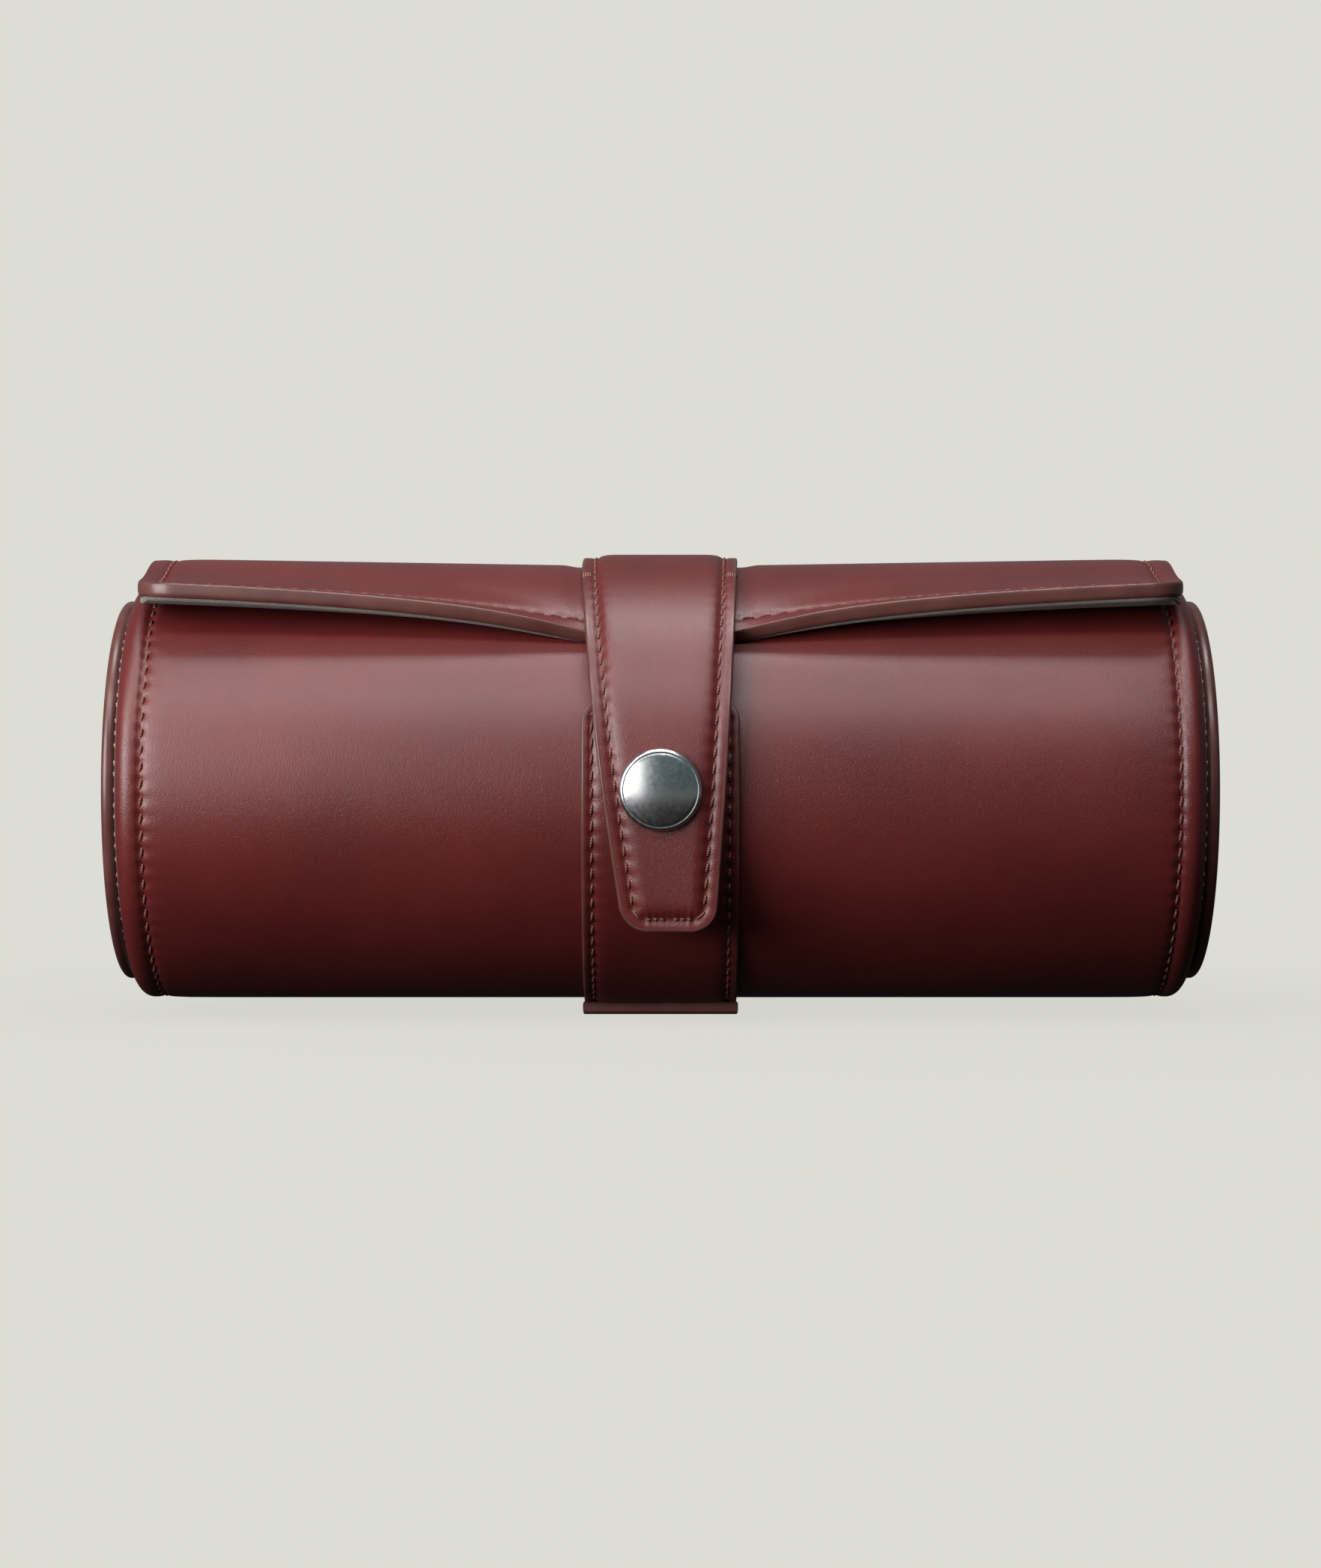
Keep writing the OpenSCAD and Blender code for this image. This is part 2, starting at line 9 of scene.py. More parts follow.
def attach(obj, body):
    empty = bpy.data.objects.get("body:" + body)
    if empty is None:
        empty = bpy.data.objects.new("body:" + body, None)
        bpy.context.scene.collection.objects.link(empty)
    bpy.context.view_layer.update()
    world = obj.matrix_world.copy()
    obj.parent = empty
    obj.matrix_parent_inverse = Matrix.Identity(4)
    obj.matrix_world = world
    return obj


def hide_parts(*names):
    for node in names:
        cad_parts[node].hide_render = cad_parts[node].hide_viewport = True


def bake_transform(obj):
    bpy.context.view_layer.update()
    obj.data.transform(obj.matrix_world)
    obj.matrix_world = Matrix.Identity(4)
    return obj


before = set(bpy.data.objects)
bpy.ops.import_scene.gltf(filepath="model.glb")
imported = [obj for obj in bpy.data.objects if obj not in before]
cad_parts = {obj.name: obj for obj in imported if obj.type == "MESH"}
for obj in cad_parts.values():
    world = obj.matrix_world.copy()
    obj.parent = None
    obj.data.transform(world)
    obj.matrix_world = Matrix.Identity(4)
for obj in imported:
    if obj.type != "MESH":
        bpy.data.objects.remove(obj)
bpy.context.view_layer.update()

# The part's own measures, in millimetres and degrees, as in its CAD source. Angles about the roll
# are counted from the crown towards the front.
MM = 0.001
SHELL_R = 39.7
ROLL_HALF = 102.7
LINING_R = 36.1
BOARD_R = 37.1
LIP = 16
CASE_BACK = 262.49
FLAP_BACK = -95.49
SHOULDER_R = 2.9
CAP_R = 36.3
CAP_T = 3.4
CAP_INNER = ROLL_HALF - CAP_T
SHELL_HALF = CAP_INNER + 0.6
KEEPER_R = 41.2
KEEPER_W = 29
KEEPER_T = 1.5
KEEPER_TOP = 66
KEEPER_END = 187
KEEPER_CORNER = 4
BELT_T = 2.2
BELT_END = 168
RAMP_START = 189
RAMP_END = 205
CONTACT = 0.02
ROLL_Z = 42.9
FLAP_T = 2.8
FLAP_FRONT = 33.2
FLAP_HALF = 97.9
FLAP_R = 39.95
FLAP_CORNER = 7
HINGE_R = 36.9
HUG_MID = 47
HUG_END = 15
FLATTEN = 17
CROWN_LIFT = 1.3
SLACK_MAX = 0.95
SLACK_LEN = 24
SLACK_POWER = 0.75
SLACK_RATE = 1.6
HOLD_HALF = 13
CHANNEL_HALF = 15.5
STRAP_W = 29.6
STRAP_TIP_W = 17
STRAP_TIP = 121.5
STRAP_HANG = 0.75
STRAP_T = 2.2
STRAP_MARGIN_T = 1.6
STRAP_R = 42.95
STRAP_EDGE_R = 43.45
STRAP_SNAP_R = 43.6
SNAP = 90
CAP_D = 15
PLACE_PITCH = 67.0
CUSHION_HALF = 30.3
CUSHION_R = 24
CUSHION_Z = ROLL_Z - 11.8
CUSHION_DRAW = 3
CUSHION_ROUND = 5

# Measures that only the visible pieces have.
CASE_PITCH = 3.2
CASE_SEAM_X = 95.1
CASE_SEAM_ROLL = 4.6
CASE_EDGE_T = 2.6
LIP_PAINT = 0.9
# The case's own leather stops below the hinge, where the flap's sheet carries on.
CASE_LEATHER_BACK = 252
FLAP_SEAM = 4.1
FLAP_PITCH = 3.2
FLAP_SEAM_BACK = -92
# Behind this length from the crown the flap's side edge isn't painted.
FLAP_PAINT_BACK = -60
FLAP_SUEDE_INSET = 0.4
STRAP_CORNER = 4.6
STRAP_SEAM = 2.5
STRAP_PITCH = 3.0
STRAP_PAINT = 0.6
BELT_PAINT = 0.45
KEEPER_SEAM = 1.9
KEEPER_SEAM_END = 166
KEEPER_PAINT = 0.6
WHIP_COUNT = 84


def clamp(u):
    return min(1.0, max(0.0, u))


def smooth(u):
    u = clamp(u)
    return u * u * (3 - 2 * u)


def mix(a, b, u):
    return a + (b - a) * u


def on_roll(x, angle, r):
    a = math.radians(angle)
    return Vector((x, -r * math.sin(a), ROLL_Z + r * math.cos(a)))


def flap_slack(x):
    return SLACK_MAX * (1 - math.exp(-(max(0, abs(x) - HOLD_HALF) / SLACK_LEN) ** SLACK_POWER))


def flap_lift(x):
    return CROWN_LIFT * clamp((abs(x) - CHANNEL_HALF) / (FLAP_HALF - CHANNEL_HALF))


def flap_point(x, q, t):
    """The flap's sheet: q is the length from the crown, forwards, and t the height over its lining."""
    if q < 0:
        angle = math.degrees(q / FLAP_R)
        r = mix(HINGE_R, FLAP_R + flap_lift(x), smooth(1 - angle / FLAP_BACK))
        return on_roll(x, angle, r + t)
    r = FLAP_R + flap_lift(x)
    slack = flap_slack(x)
    hug = min(math.radians(mix(HUG_MID, HUG_END, slack)) * r, FLAP_FRONT - 0.4)
    turn = math.radians(FLATTEN) * math.sin(math.pi / 2 * min(1, SLACK_RATE * slack))
    a = min(q, hug) / r
    free = FLAP_FRONT - hug
    u = max(0, q - hug)
    slope = a - turn * u / free
    bend = turn / free
    if bend < 1e-4:
        run, drop = u * math.cos(a), u * math.sin(a)
    else:
        run, drop = (math.sin(a) - math.sin(slope)) / bend, (math.cos(slope) - math.cos(a)) / bend
    return Vector((x, -r * math.sin(a) - run - t * math.sin(slope),
                   ROLL_Z + r * math.cos(a) - drop + t * math.cos(slope)))


def strap_inner_r(angle):
    if angle < HUG_MID:
        return mix(STRAP_R, STRAP_EDGE_R, smooth(angle / HUG_MID))
    if angle < SNAP:
        return mix(STRAP_EDGE_R, STRAP_SNAP_R, (angle - HUG_MID) / (SNAP - HUG_MID))
    return STRAP_SNAP_R * mix(1, 1 / math.cos(math.radians(angle - SNAP)), STRAP_HANG)


# Lengths along the strap, from the crown forwards, at every quarter of a degree. Half way through
# its thickness the strap is about 2% longer than its lining.
TURN_STEPS = 4
MIDDLE_LONGER = 1.02
STRAP_TURNS = [k / TURN_STEPS for k in range(-15 * TURN_STEPS, 126 * TURN_STEPS + 1)]
STRAP_LENGTHS = [0.0]
for low_turn, high_turn in zip(STRAP_TURNS, STRAP_TURNS[1:]):
    step = on_roll(0, high_turn, strap_inner_r(high_turn)) - on_roll(0, low_turn, strap_inner_r(low_turn))
    STRAP_LENGTHS.append(STRAP_LENGTHS[-1] + step.length * MIDDLE_LONGER)
crown_length = STRAP_LENGTHS[STRAP_TURNS.index(0)]
STRAP_LENGTHS = [length - crown_length for length in STRAP_LENGTHS]


def strap_length(angle):
    return STRAP_LENGTHS[round((angle - STRAP_TURNS[0]) * TURN_STEPS)]


def strap_turn(q):
    k = min(len(STRAP_LENGTHS) - 1, max(1, bisect.bisect(STRAP_LENGTHS, q)))
    share = (q - STRAP_LENGTHS[k - 1]) / (STRAP_LENGTHS[k] - STRAP_LENGTHS[k - 1])
    return mix(STRAP_TURNS[k - 1], STRAP_TURNS[k], share)


STRAP_HALF = STRAP_W / 2
# The belt and the keeper are laid out flat at these radii.
BELT_LAY_R = 43.5
KEEPER_LAY_R = 40.5


def strap_point(x, q, t):
    """The strap, laid out flat at its root's width, with its tapered width and its round put back."""
    angle = strap_turn(q)
    w = mix(STRAP_W, STRAP_TIP_W, (max(0, angle) / STRAP_TIP) ** 2) / 2
    margin = 4.5
    d = STRAP_HALF - abs(x)
    inside = (w - margin) / (STRAP_HALF - margin)
    across = w - d if d < margin else abs(x) * inside
    # The free end leans a little to the right.
    lean = 1.5 * (max(0, angle) / 118) ** 3 - 0.2 * smooth(angle / 20) * smooth((110 - angle) / 60)
    before, after = angle - 0.5, angle + 0.5
    ahead = on_roll(0, after, strap_inner_r(after)) - on_roll(0, before, strap_inner_r(before))
    out = Vector((0, -ahead.z, ahead.y)).normalized()
    return on_roll(math.copysign(across, x) + lean, angle, strap_inner_r(angle)) - out * t


def belt_point(x, q, t):
    """The belt from the flap's crown, backwards and down round the case to its end under the front."""
    angle = math.degrees(q / BELT_LAY_R)
    if angle > FLAP_BACK:
        r = FLAP_T + CONTACT + mix(HINGE_R, FLAP_R, smooth(1 - angle / FLAP_BACK))
    else:
        r = mix(KEEPER_R, SHELL_R, smooth((angle + 360 - RAMP_START) / (RAMP_END - RAMP_START))) + CONTACT
    p = on_roll(x, angle, r + t)
    p.z = max(p.z, 0)
    return p


def keeper_point(x, q, t):
    return on_roll(x, math.degrees(q / KEEPER_LAY_R), SHELL_R + CONTACT + t)


def case_point(x, q, t):
    return on_roll(x, math.degrees(q / SHELL_R), LINING_R + t)


# Layouts of sheets: lines across and along, the round of the corners, and the way to the edge.
def edge_lines(reach, step):
    """Distances from an edge: close together over the rounded edge, then evenly spaced."""
    lines = [0, 0.01, 0.04, 0.12, 0.26, 0.42, 0.62, 0.9]
    while lines[-1] < reach - step * 0.6:
        lines.append(lines[-1] + step)
    return lines


def spaced(a, b, step):
    n = max(1, round((b - a) / step))
    return [a + (b - a) * i / n for i in range(n + 1)]


def columns_for(half, fine, step_fine, step):
    side = edge_lines(fine, step_fine)
    middle = spaced(-(half - side[-1]), half - side[-1], step)
    return [d - half for d in side[:-1]] + middle + [half - d for d in reversed(side[:-1])]


def rows_for(q0, q1, step, fine0, fine1):
    a = edge_lines(fine0, step)
    b = edge_lines(fine1, step)
    middle = spaced(q0 + a[-1], q1 - b[-1], step)
    return [q0 + d for d in a[:-1]] + middle + [q1 - d for d in reversed(b[:-1])]


class Layout:
    """A flat piece: |x| up to half, q from start to end, with rounded corners at the ends named."""

    def __init__(self, half, start, end, corner, at_start=False, at_end=True, free_start=False):
        self.half, self.start, self.end, self.corner = half, start, end, corner
        self.at_start, self.at_end = at_start, at_end
        self.free_start = free_start

    def rounded(self, x, q):
        """The flat place with the grid's square corners drawn in to round ones."""
        r = self.corner
        a = (abs(x) - self.half + r) / r
        ends = ((self.at_end, (q - self.end + r) / r, self.end, 1),
                (self.at_start, (self.start + r - q) / r, self.start, -1))
        for on, b, end, sign in ends:
            if on and a > 0 and b > 0:
                m = max(a, b)
                phi = math.pi / 4 * b / a if a >= b else math.pi / 2 - math.pi / 4 * a / b
                x = math.copysign(self.half - r + m * r * math.cos(phi), x)
                q = end - sign * r + sign * m * r * math.sin(phi)
                break
        return x, q

    def to_edge(self, x, q):
        """Distance to the nearest finished edge, from the flat place before the corners are rounded."""
        d = self.half - abs(x)
        if self.at_end:
            d = min(d, self.end - q)
        if self.at_start or self.free_start:
            d = min(d, q - self.start)
        return d

    def along(self, x, q, inset):
        """Length along the line that runs inset from the edge: sides first, then across the end."""
        r = self.corner
        rho = max(0.3, r - inset)
        if self.at_end and abs(x) > self.half - r and q > self.end - r:
            return rho * math.atan2(q - self.end + r, abs(x) - self.half + r)
        if self.at_start and abs(x) > self.half - r and q < self.start + r:
            return rho * math.atan2(self.start + r - q, abs(x) - self.half + r)
        if self.at_end and self.end - q < self.half - abs(x):
            return rho * math.pi / 2 + self.half - r - abs(x)
        if self.at_start and q - self.start < self.half - abs(x):
            return rho * math.pi / 2 + self.half - r - abs(x)
        return q - (self.end - r) if self.at_end else self.start + r - q

    def seam_place(self, p, inset, side):
        """The flat place and direction at length p along the line, from the corner's start."""
        r = self.corner
        rho = max(0.3, r - inset)
        end, sign = (self.end, 1) if self.at_end else (self.start, -1)
        if p < 0:
            return (side * (self.half - inset), end + sign * (p - r)), (0, sign)
        if p < rho * math.pi / 2:
            phi = p / rho
            return ((side * (self.half - r + rho * math.cos(phi)), end + sign * (rho * math.sin(phi) - r)),
                    (-side * math.sin(phi), sign * math.cos(phi)))
        return (side * (self.half - r - p + rho * math.pi / 2), end - sign * inset), (-side, 0)


def rounded_edge(d, thick, edge, bead_height=0.09):
    """Share of the half thickness at distance d from the edge: a broad, slightly domed painted edge."""
    bead = bead_height * math.exp(-((d - edge * 0.45) / 0.16) ** 2) / thick * 2
    if d >= edge:
        return 1.0 + bead
    return (1 - (1 - max(0, d) / edge) ** 3) ** (1 / 3) + bead * smooth(d / 0.1)


def pucker(d, along, inset, pitch, depth):
    """Depth of the stitched groove, with a hole at each end of a stitch, and the scallops beside it."""
    wave = 0.5 + 0.5 * math.cos(2 * math.pi * along / pitch)
    groove = math.exp(-((d - inset) / 0.5) ** 2) * (0.5 + 0.5 * wave)
    side = math.exp(-max(0, d - inset - 0.5) / 1.0) * smooth((d - inset + 0.3) / 0.6) * wave * 0.62
    outer = math.exp(-max(0, inset - d - 0.4) / 0.6) * smooth((inset - d + 0.3) / 0.6) * wave * 0.3
    return depth * (groove + side + outer)


def level(side, share, low, middle, top):
    """Height of the face, the edge's middle or the back, as far out as the rounded edge lets it be."""
    if side > 0:
        return middle + (top - middle) * share
    return middle - (middle - low) * share if side < 0 else middle


# Making of meshes.
def finish_mesh(name, bm, materials):
    mesh = bpy.data.meshes.new(name)
    bm.to_mesh(mesh)
    bm.free()
    for m in materials:
        mesh.materials.append(m)
    mesh.shade_smooth()
    piece = bpy.data.objects.new(name, mesh)
    bpy.context.scene.collection.objects.link(piece)
    return piece


def sheet(name, columns, rows, surface, finish, materials):
    """A closed sheet: face and back are grids of the flat layout that meet in the edge's middle."""
    bm = bmesh.new()
    bmesh.ops.create_grid(bm, x_segments=len(columns) - 1, y_segments=len(rows) - 1, size=1)
    flat = bm.verts.layers.float_vector.new("flat")
    last_i, last_j = len(columns) - 1, len(rows) - 1
    for v in bm.verts:
        i = round((v.co.x + 1) / 2 * last_i)
        j = round((v.co.y + 1) / 2 * last_j)
        v[flat] = (columns[i], rows[j], 0 if i in (0, last_i) or j in (0, last_j) else 1)
    copied = bmesh.ops.duplicate(bm, geom=bm.verts[:] + bm.edges[:] + bm.faces[:])
    for v in copied["geom"]:
        if isinstance(v, bmesh.types.BMVert):
            v[flat] = (v[flat].x, v[flat].y, -v[flat].z)
    back_faces = {f for f in copied["geom"] if isinstance(f, bmesh.types.BMFace)}
    bmesh.ops.reverse_faces(bm, faces=list(back_faces))
    for f in bm.faces:
        x = sum(v[flat].x for v in f.verts) / len(f.verts)
        q = sum(v[flat].y for v in f.verts) / len(f.verts)
        f.material_index = finish(x, q, -1 if f in back_faces else 1)
    for v in bm.verts:
        v.co = surface(v[flat].x, v[flat].y, v[flat].z) * MM
    bmesh.ops.remove_doubles(bm, verts=bm.verts, dist=1e-7)
    bmesh.ops.recalc_face_normals(bm, faces=bm.faces)
    uv = bm.loops.layers.uv.new("flat")
    for f in bm.faces:
        for loop in f.loops:
            loop[uv].uv = (loop.vert[flat].x * MM, loop.vert[flat].y * MM)
    bm.verts.layers.float_vector.remove(flat)
    return finish_mesh(name, bm, materials)


def stitches(name, places, point, length, height, material):
    """Threads of one seam: each is a short bead that dips into a hole at both its ends."""
    bm = bmesh.new()
    uv = bm.loops.layers.uv.new("flat")
    for (x, q), (dx, dq), seat in places:
        made = bmesh.ops.create_uvsphere(bm, u_segments=6, v_segments=6, radius=1)["verts"]
        faces = {f for v in made for f in v.link_faces}
        for f in faces:
            for loop in f.loops:
                c = loop.vert.co
                loop[uv].uv = (c.z * length / 2 * MM, math.atan2(c.y, c.x) / math.pi * 0.3 * MM)
        for v in made:
            lengthwise, sideways, up = v.co.z, v.co.x, v.co.y
            round_here = 1 - lengthwise * lengthwise
            bulge = max(0, round_here) ** 0.22 / max(1e-6, math.sqrt(max(1e-9, round_here)))
            bulge = min(bulge, 2.5)
            off_line = sideways * bulge * 0.26 + lengthwise * 0.12
            px = x + dx * lengthwise * length / 2 - dq * off_line
            pq = q + dq * lengthwise * length / 2 + dx * off_line
            pt = seat + up * bulge * height / 2 + 0.16 - 0.55 * abs(lengthwise) ** 3
            v.co = point(px, pq, pt) * MM
    bmesh.ops.recalc_face_normals(bm, faces=bm.faces)
    return finish_mesh(name, bm, [material])


def lathe(name, profile, turn, materials, segments, start, lift=0, index=None):
    """A profile of (radius, height) spun round its axis, lifted along it, turned and set at start."""
    bm = bmesh.new()
    verts = [bm.verts.new((r, 0, h)) for r, h in profile]
    edges = [bm.edges.new(pair) for pair in zip(verts, verts[1:])]
    bmesh.ops.spin(bm, geom=verts + edges, cent=(0, 0, 0), axis=(0, 0, 1), angle=2 * math.pi,
                   steps=segments, use_merge=True)
    bmesh.ops.remove_doubles(bm, verts=bm.verts, dist=1e-5)
    bmesh.ops.recalc_face_normals(bm, faces=bm.faces)
    if index:
        for f in bm.faces:
            c = f.calc_center_median()
            f.material_index = index(math.hypot(c.x, c.y), c.z)
    matrix = Matrix.Scale(MM, 4) @ Matrix.Translation(start) @ turn @ Matrix.Translation((0, 0, lift))
    bmesh.ops.transform(bm, matrix=matrix, verts=bm.verts)
    return finish_mesh(name, bm, materials)


# Materials.
def srgb(hex_colour):
    values = [int(hex_colour[i:i + 2], 16) / 255 for i in (1, 3, 5)]
    return [v / 12.92 if v <= 0.04045 else ((v + 0.055) / 1.055) ** 2.4 for v in values] + [1]


def add(tree, kind, settings=None, inputs=None, stops=()):
    """Adds a node. An input given as a socket is linked; stops are a colour ramp's."""
    node = tree.nodes.new(kind)
    for key, value in (settings or {}).items():
        setattr(node, key, value)
    for key, value in (inputs or {}).items():
        if isinstance(value, bpy.types.NodeSocket):
            tree.links.new(value, node.inputs[key])
        else:
            node.inputs[key].default_value = value
    for number, (position, colour) in enumerate(stops):
        elements = node.color_ramp.elements
        element = elements[number] if number < len(elements) else elements.new(position)
        element.position = position
        element.color = colour
    return node


def new_material(name):
    material = bpy.data.materials.new(name)
    material.use_nodes = True
    tree = material.node_tree
    tree.nodes.clear()
    output = add(tree, "ShaderNodeOutputMaterial")
    shader = add(tree, "ShaderNodeBsdfPrincipled")
    tree.links.new(shader.outputs[0], output.inputs["Surface"])
    return material, tree, shader


def calf_leather(name, base, dark, light, use_uv, crease=1.0):
    """Aniline-dyed boxed calf, drum dyed and lightly waxed: a fine pebbled grain under a soft sheen."""
    material, tree, shader = new_material(name)
    coords = add(tree, "ShaderNodeTexCoord")
    place = coords.outputs["UV" if use_uv else "Object"]
    # Pebbles are about 0.2 mm across; in patches they pull out to fine creases round the roll.
    warp = add(tree, "ShaderNodeTexNoise", {}, {"Vector": place, "Scale": 1100, "Detail": 1})
    moved = add(tree, "ShaderNodeMixRGB", {"blend_type": "LINEAR_LIGHT"},
                {"Fac": 0.00012, "Color1": place, "Color2": warp.outputs["Color"]})
    pebble_map = add(tree, "ShaderNodeMapping", {}, {"Vector": moved.outputs[0], "Scale": (1.1, 0.85, 1.0)})
    pebble = add(tree, "ShaderNodeTexVoronoi", {"feature": "SMOOTH_F1"},
                 {"Vector": pebble_map.outputs[0], "Scale": 5600, "Smoothness": 0.3})
    fine = add(tree, "ShaderNodeTexNoise", {},
               {"Vector": pebble_map.outputs[0], "Scale": 9000, "Detail": 1, "Roughness": 0.5})
    crease_map = add(tree, "ShaderNodeMapping", {}, {"Vector": moved.outputs[0], "Scale": (1.0, 0.13, 1.0)})
    creases = add(tree, "ShaderNodeTexNoise", {},
                  {"Vector": crease_map.outputs[0], "Scale": 5200, "Detail": 1, "Roughness": 0.5})
    patches = add(tree, "ShaderNodeTexNoise", {},
                  {"Vector": place, "Scale": 38, "Detail": 2, "Roughness": 0.5})
    patch = add(tree, "ShaderNodeValToRGB", {}, {"Fac": patches.outputs[0]},
                [(0.42, (0, 0, 0, 1)), (0.65, (1, 1, 1, 1))])
    domes = add(tree, "ShaderNodeMath", {"operation": "MULTIPLY"},
                {0: pebble.outputs["Distance"], 1: pebble.outputs["Distance"]})
    fine_level = add(tree, "ShaderNodeMath", {"operation": "MULTIPLY"}, {0: fine.outputs[0], 1: 0.45})
    height = add(tree, "ShaderNodeMath", {"operation": "MULTIPLY_ADD"},
                 {0: domes.outputs[0], 1: -2.2, 2: fine_level.outputs[0]})
    crease_level = add(tree, "ShaderNodeMath", {"operation": "MULTIPLY"},
                       {0: creases.outputs[0], 1: patch.outputs[0]})
    total = add(tree, "ShaderNodeMath", {"operation": "MULTIPLY_ADD"},
                {0: crease_level.outputs[0], 1: 1.1 * crease, 2: height.outputs[0]})
    bump = add(tree, "ShaderNodeBump", {},
               {"Strength": 1.0, "Distance": 0.000016, "Height": total.outputs[0]})
    tone = add(tree, "ShaderNodeTexNoise", {},
               {"Vector": place, "Scale": 30, "Detail": 4, "Roughness": 0.6})
    worn = add(tree, "ShaderNodeValToRGB", {}, {"Fac": tone.outputs[0]},
               [(0.3, srgb(dark)), (0.52, srgb(base)), (0.8, srgb(light))])
    # Painted shade: the colour darkens towards the edges of the pebbles, in the valleys between them where
    # shade falls.
    pebble_valley_shade = add(tree, "ShaderNodeValToRGB", {}, {"Fac": pebble.outputs["Distance"]},
                 [(0.2, (1, 1, 1, 1)), (0.75, (0.72, 0.66, 0.66, 1))])
    colour = add(tree, "ShaderNodeMixRGB", {"blend_type": "MULTIPLY"},
                 {"Fac": 0.5, "Color1": worn.outputs[0], "Color2": pebble_valley_shade.outputs[0]})
    gloss = add(tree, "ShaderNodeMapRange", {},
                {"Value": creases.outputs[0], "To Min": 0.32, "To Max": 0.46})
    tree.links.new(colour.outputs[0], shader.inputs["Base Color"])
    tree.links.new(gloss.outputs[0], shader.inputs["Roughness"])
    tree.links.new(bump.outputs[0], shader.inputs["Normal"])
    shader.inputs["IOR"].default_value = 1.5
    shader.inputs["Specular IOR Level"].default_value = 0.55
    shader.inputs["Coat Weight"].default_value = 0.04
    shader.inputs["Coat Roughness"].default_value = 0.3
    return material


def edge_paint(name, colour, light):
    """Acrylic edge paint, laid on in coats and sanded: a smooth satin skin with faint ripples."""
    material, tree, shader = new_material(name)
    coords = add(tree, "ShaderNodeTexCoord")
    ripple = add(tree, "ShaderNodeTexNoise", {},
                 {"Vector": coords.outputs["Object"], "Scale": 160, "Detail": 3, "Roughness": 0.5})
    skin = add(tree, "ShaderNodeTexNoise", {},
               {"Vector": coords.outputs["Object"], "Scale": 1800, "Detail": 2})
    shade = add(tree, "ShaderNodeValToRGB", {}, {"Fac": ripple.outputs[0]},
                [(0.35, srgb(colour)), (0.7, srgb(light))])
    total = add(tree, "ShaderNodeMath", {"operation": "MULTIPLY_ADD"},
                {0: skin.outputs[0], 1: 0.15, 2: ripple.outputs[0]})
    bump = add(tree, "ShaderNodeBump", {},
               {"Strength": 0.25, "Distance": 0.0003, "Height": total.outputs[0]})
    tree.links.new(shade.outputs[0], shader.inputs["Base Color"])
    tree.links.new(bump.outputs[0], shader.inputs["Normal"])
    shader.inputs["Roughness"].default_value = 0.33
    shader.inputs["Specular IOR Level"].default_value = 0.5
    return material


def suede_nap(name, base, dark, light):
    """Split suede, sanded: a short fibrous nap that scatters light and shows brushed patches."""
    material, tree, shader = new_material(name)
    coords = add(tree, "ShaderNodeTexCoord")
    place = coords.outputs["Object"]
    fibres = add(tree, "ShaderNodeTexNoise", {},
                 {"Vector": place, "Scale": 2600, "Detail": 4, "Roughness": 0.75})
    brushed = add(tree, "ShaderNodeTexNoise", {},
                  {"Vector": place, "Scale": 70, "Detail": 4, "Roughness": 0.55})
    fibre_shade = add(tree, "ShaderNodeValToRGB", {}, {"Fac": fibres.outputs[0]},
                      [(0.3, srgb(dark)), (0.55, srgb(base)), (0.75, srgb(light))])
    patch = add(tree, "ShaderNodeValToRGB", {}, {"Fac": brushed.outputs[0]},
                [(0.35, (0.8, 0.8, 0.8, 1)), (0.65, (1, 1, 1, 1))])
    colour = add(tree, "ShaderNodeMixRGB", {"blend_type": "MULTIPLY"},
                 {"Fac": 1.0, "Color1": fibre_shade.outputs[0], "Color2": patch.outputs[0]})
    bump = add(tree, "ShaderNodeBump", {},
               {"Strength": 0.7, "Distance": 0.0002, "Height": fibres.outputs[0]})
    tree.links.new(colour.outputs[0], shader.inputs["Base Color"])
    tree.links.new(bump.outputs[0], shader.inputs["Normal"])
    shader.inputs["Roughness"].default_value = 0.95
    shader.inputs["Specular IOR Level"].default_value = 0.2
    shader.inputs["Sheen Weight"].default_value = 0.35
    shader.inputs["Sheen Roughness"].default_value = 0.6
    return material


def waxed_thread(name, colour, light):
    """Bonded polyester thread, two plies laid together: its own colour, with slanted bands of painted
    highlight on the plies and painted shade between them.
    """
    material, tree, shader = new_material(name)
    coords = add(tree, "ShaderNodeTexCoord")
    # A ply crosses the thread about every 0.35 mm.
    slant = add(tree, "ShaderNodeMapping", {}, {"Vector": coords.outputs["UV"], "Rotation": (0, 0, 0.7)})
    plies = add(tree, "ShaderNodeTexWave", {"bands_direction": "X"},
                {"Vector": slant.outputs[0], "Scale": 900, "Distortion": 1.5})
    # Painted highlight and shade: the ramp runs from a darker tone between the plies to a lighter one on
    # their crests.
    shade = add(tree, "ShaderNodeValToRGB", {}, {"Fac": plies.outputs[0]},
                [(0.15, srgb(colour)), (0.85, srgb(light))])
    bump = add(tree, "ShaderNodeBump", {},
               {"Strength": 0.8, "Distance": 0.0001, "Height": plies.outputs[0]})
    tree.links.new(shade.outputs[0], shader.inputs["Base Color"])
    tree.links.new(bump.outputs[0], shader.inputs["Normal"])
    shader.inputs["Roughness"].default_value = 0.45
    return material


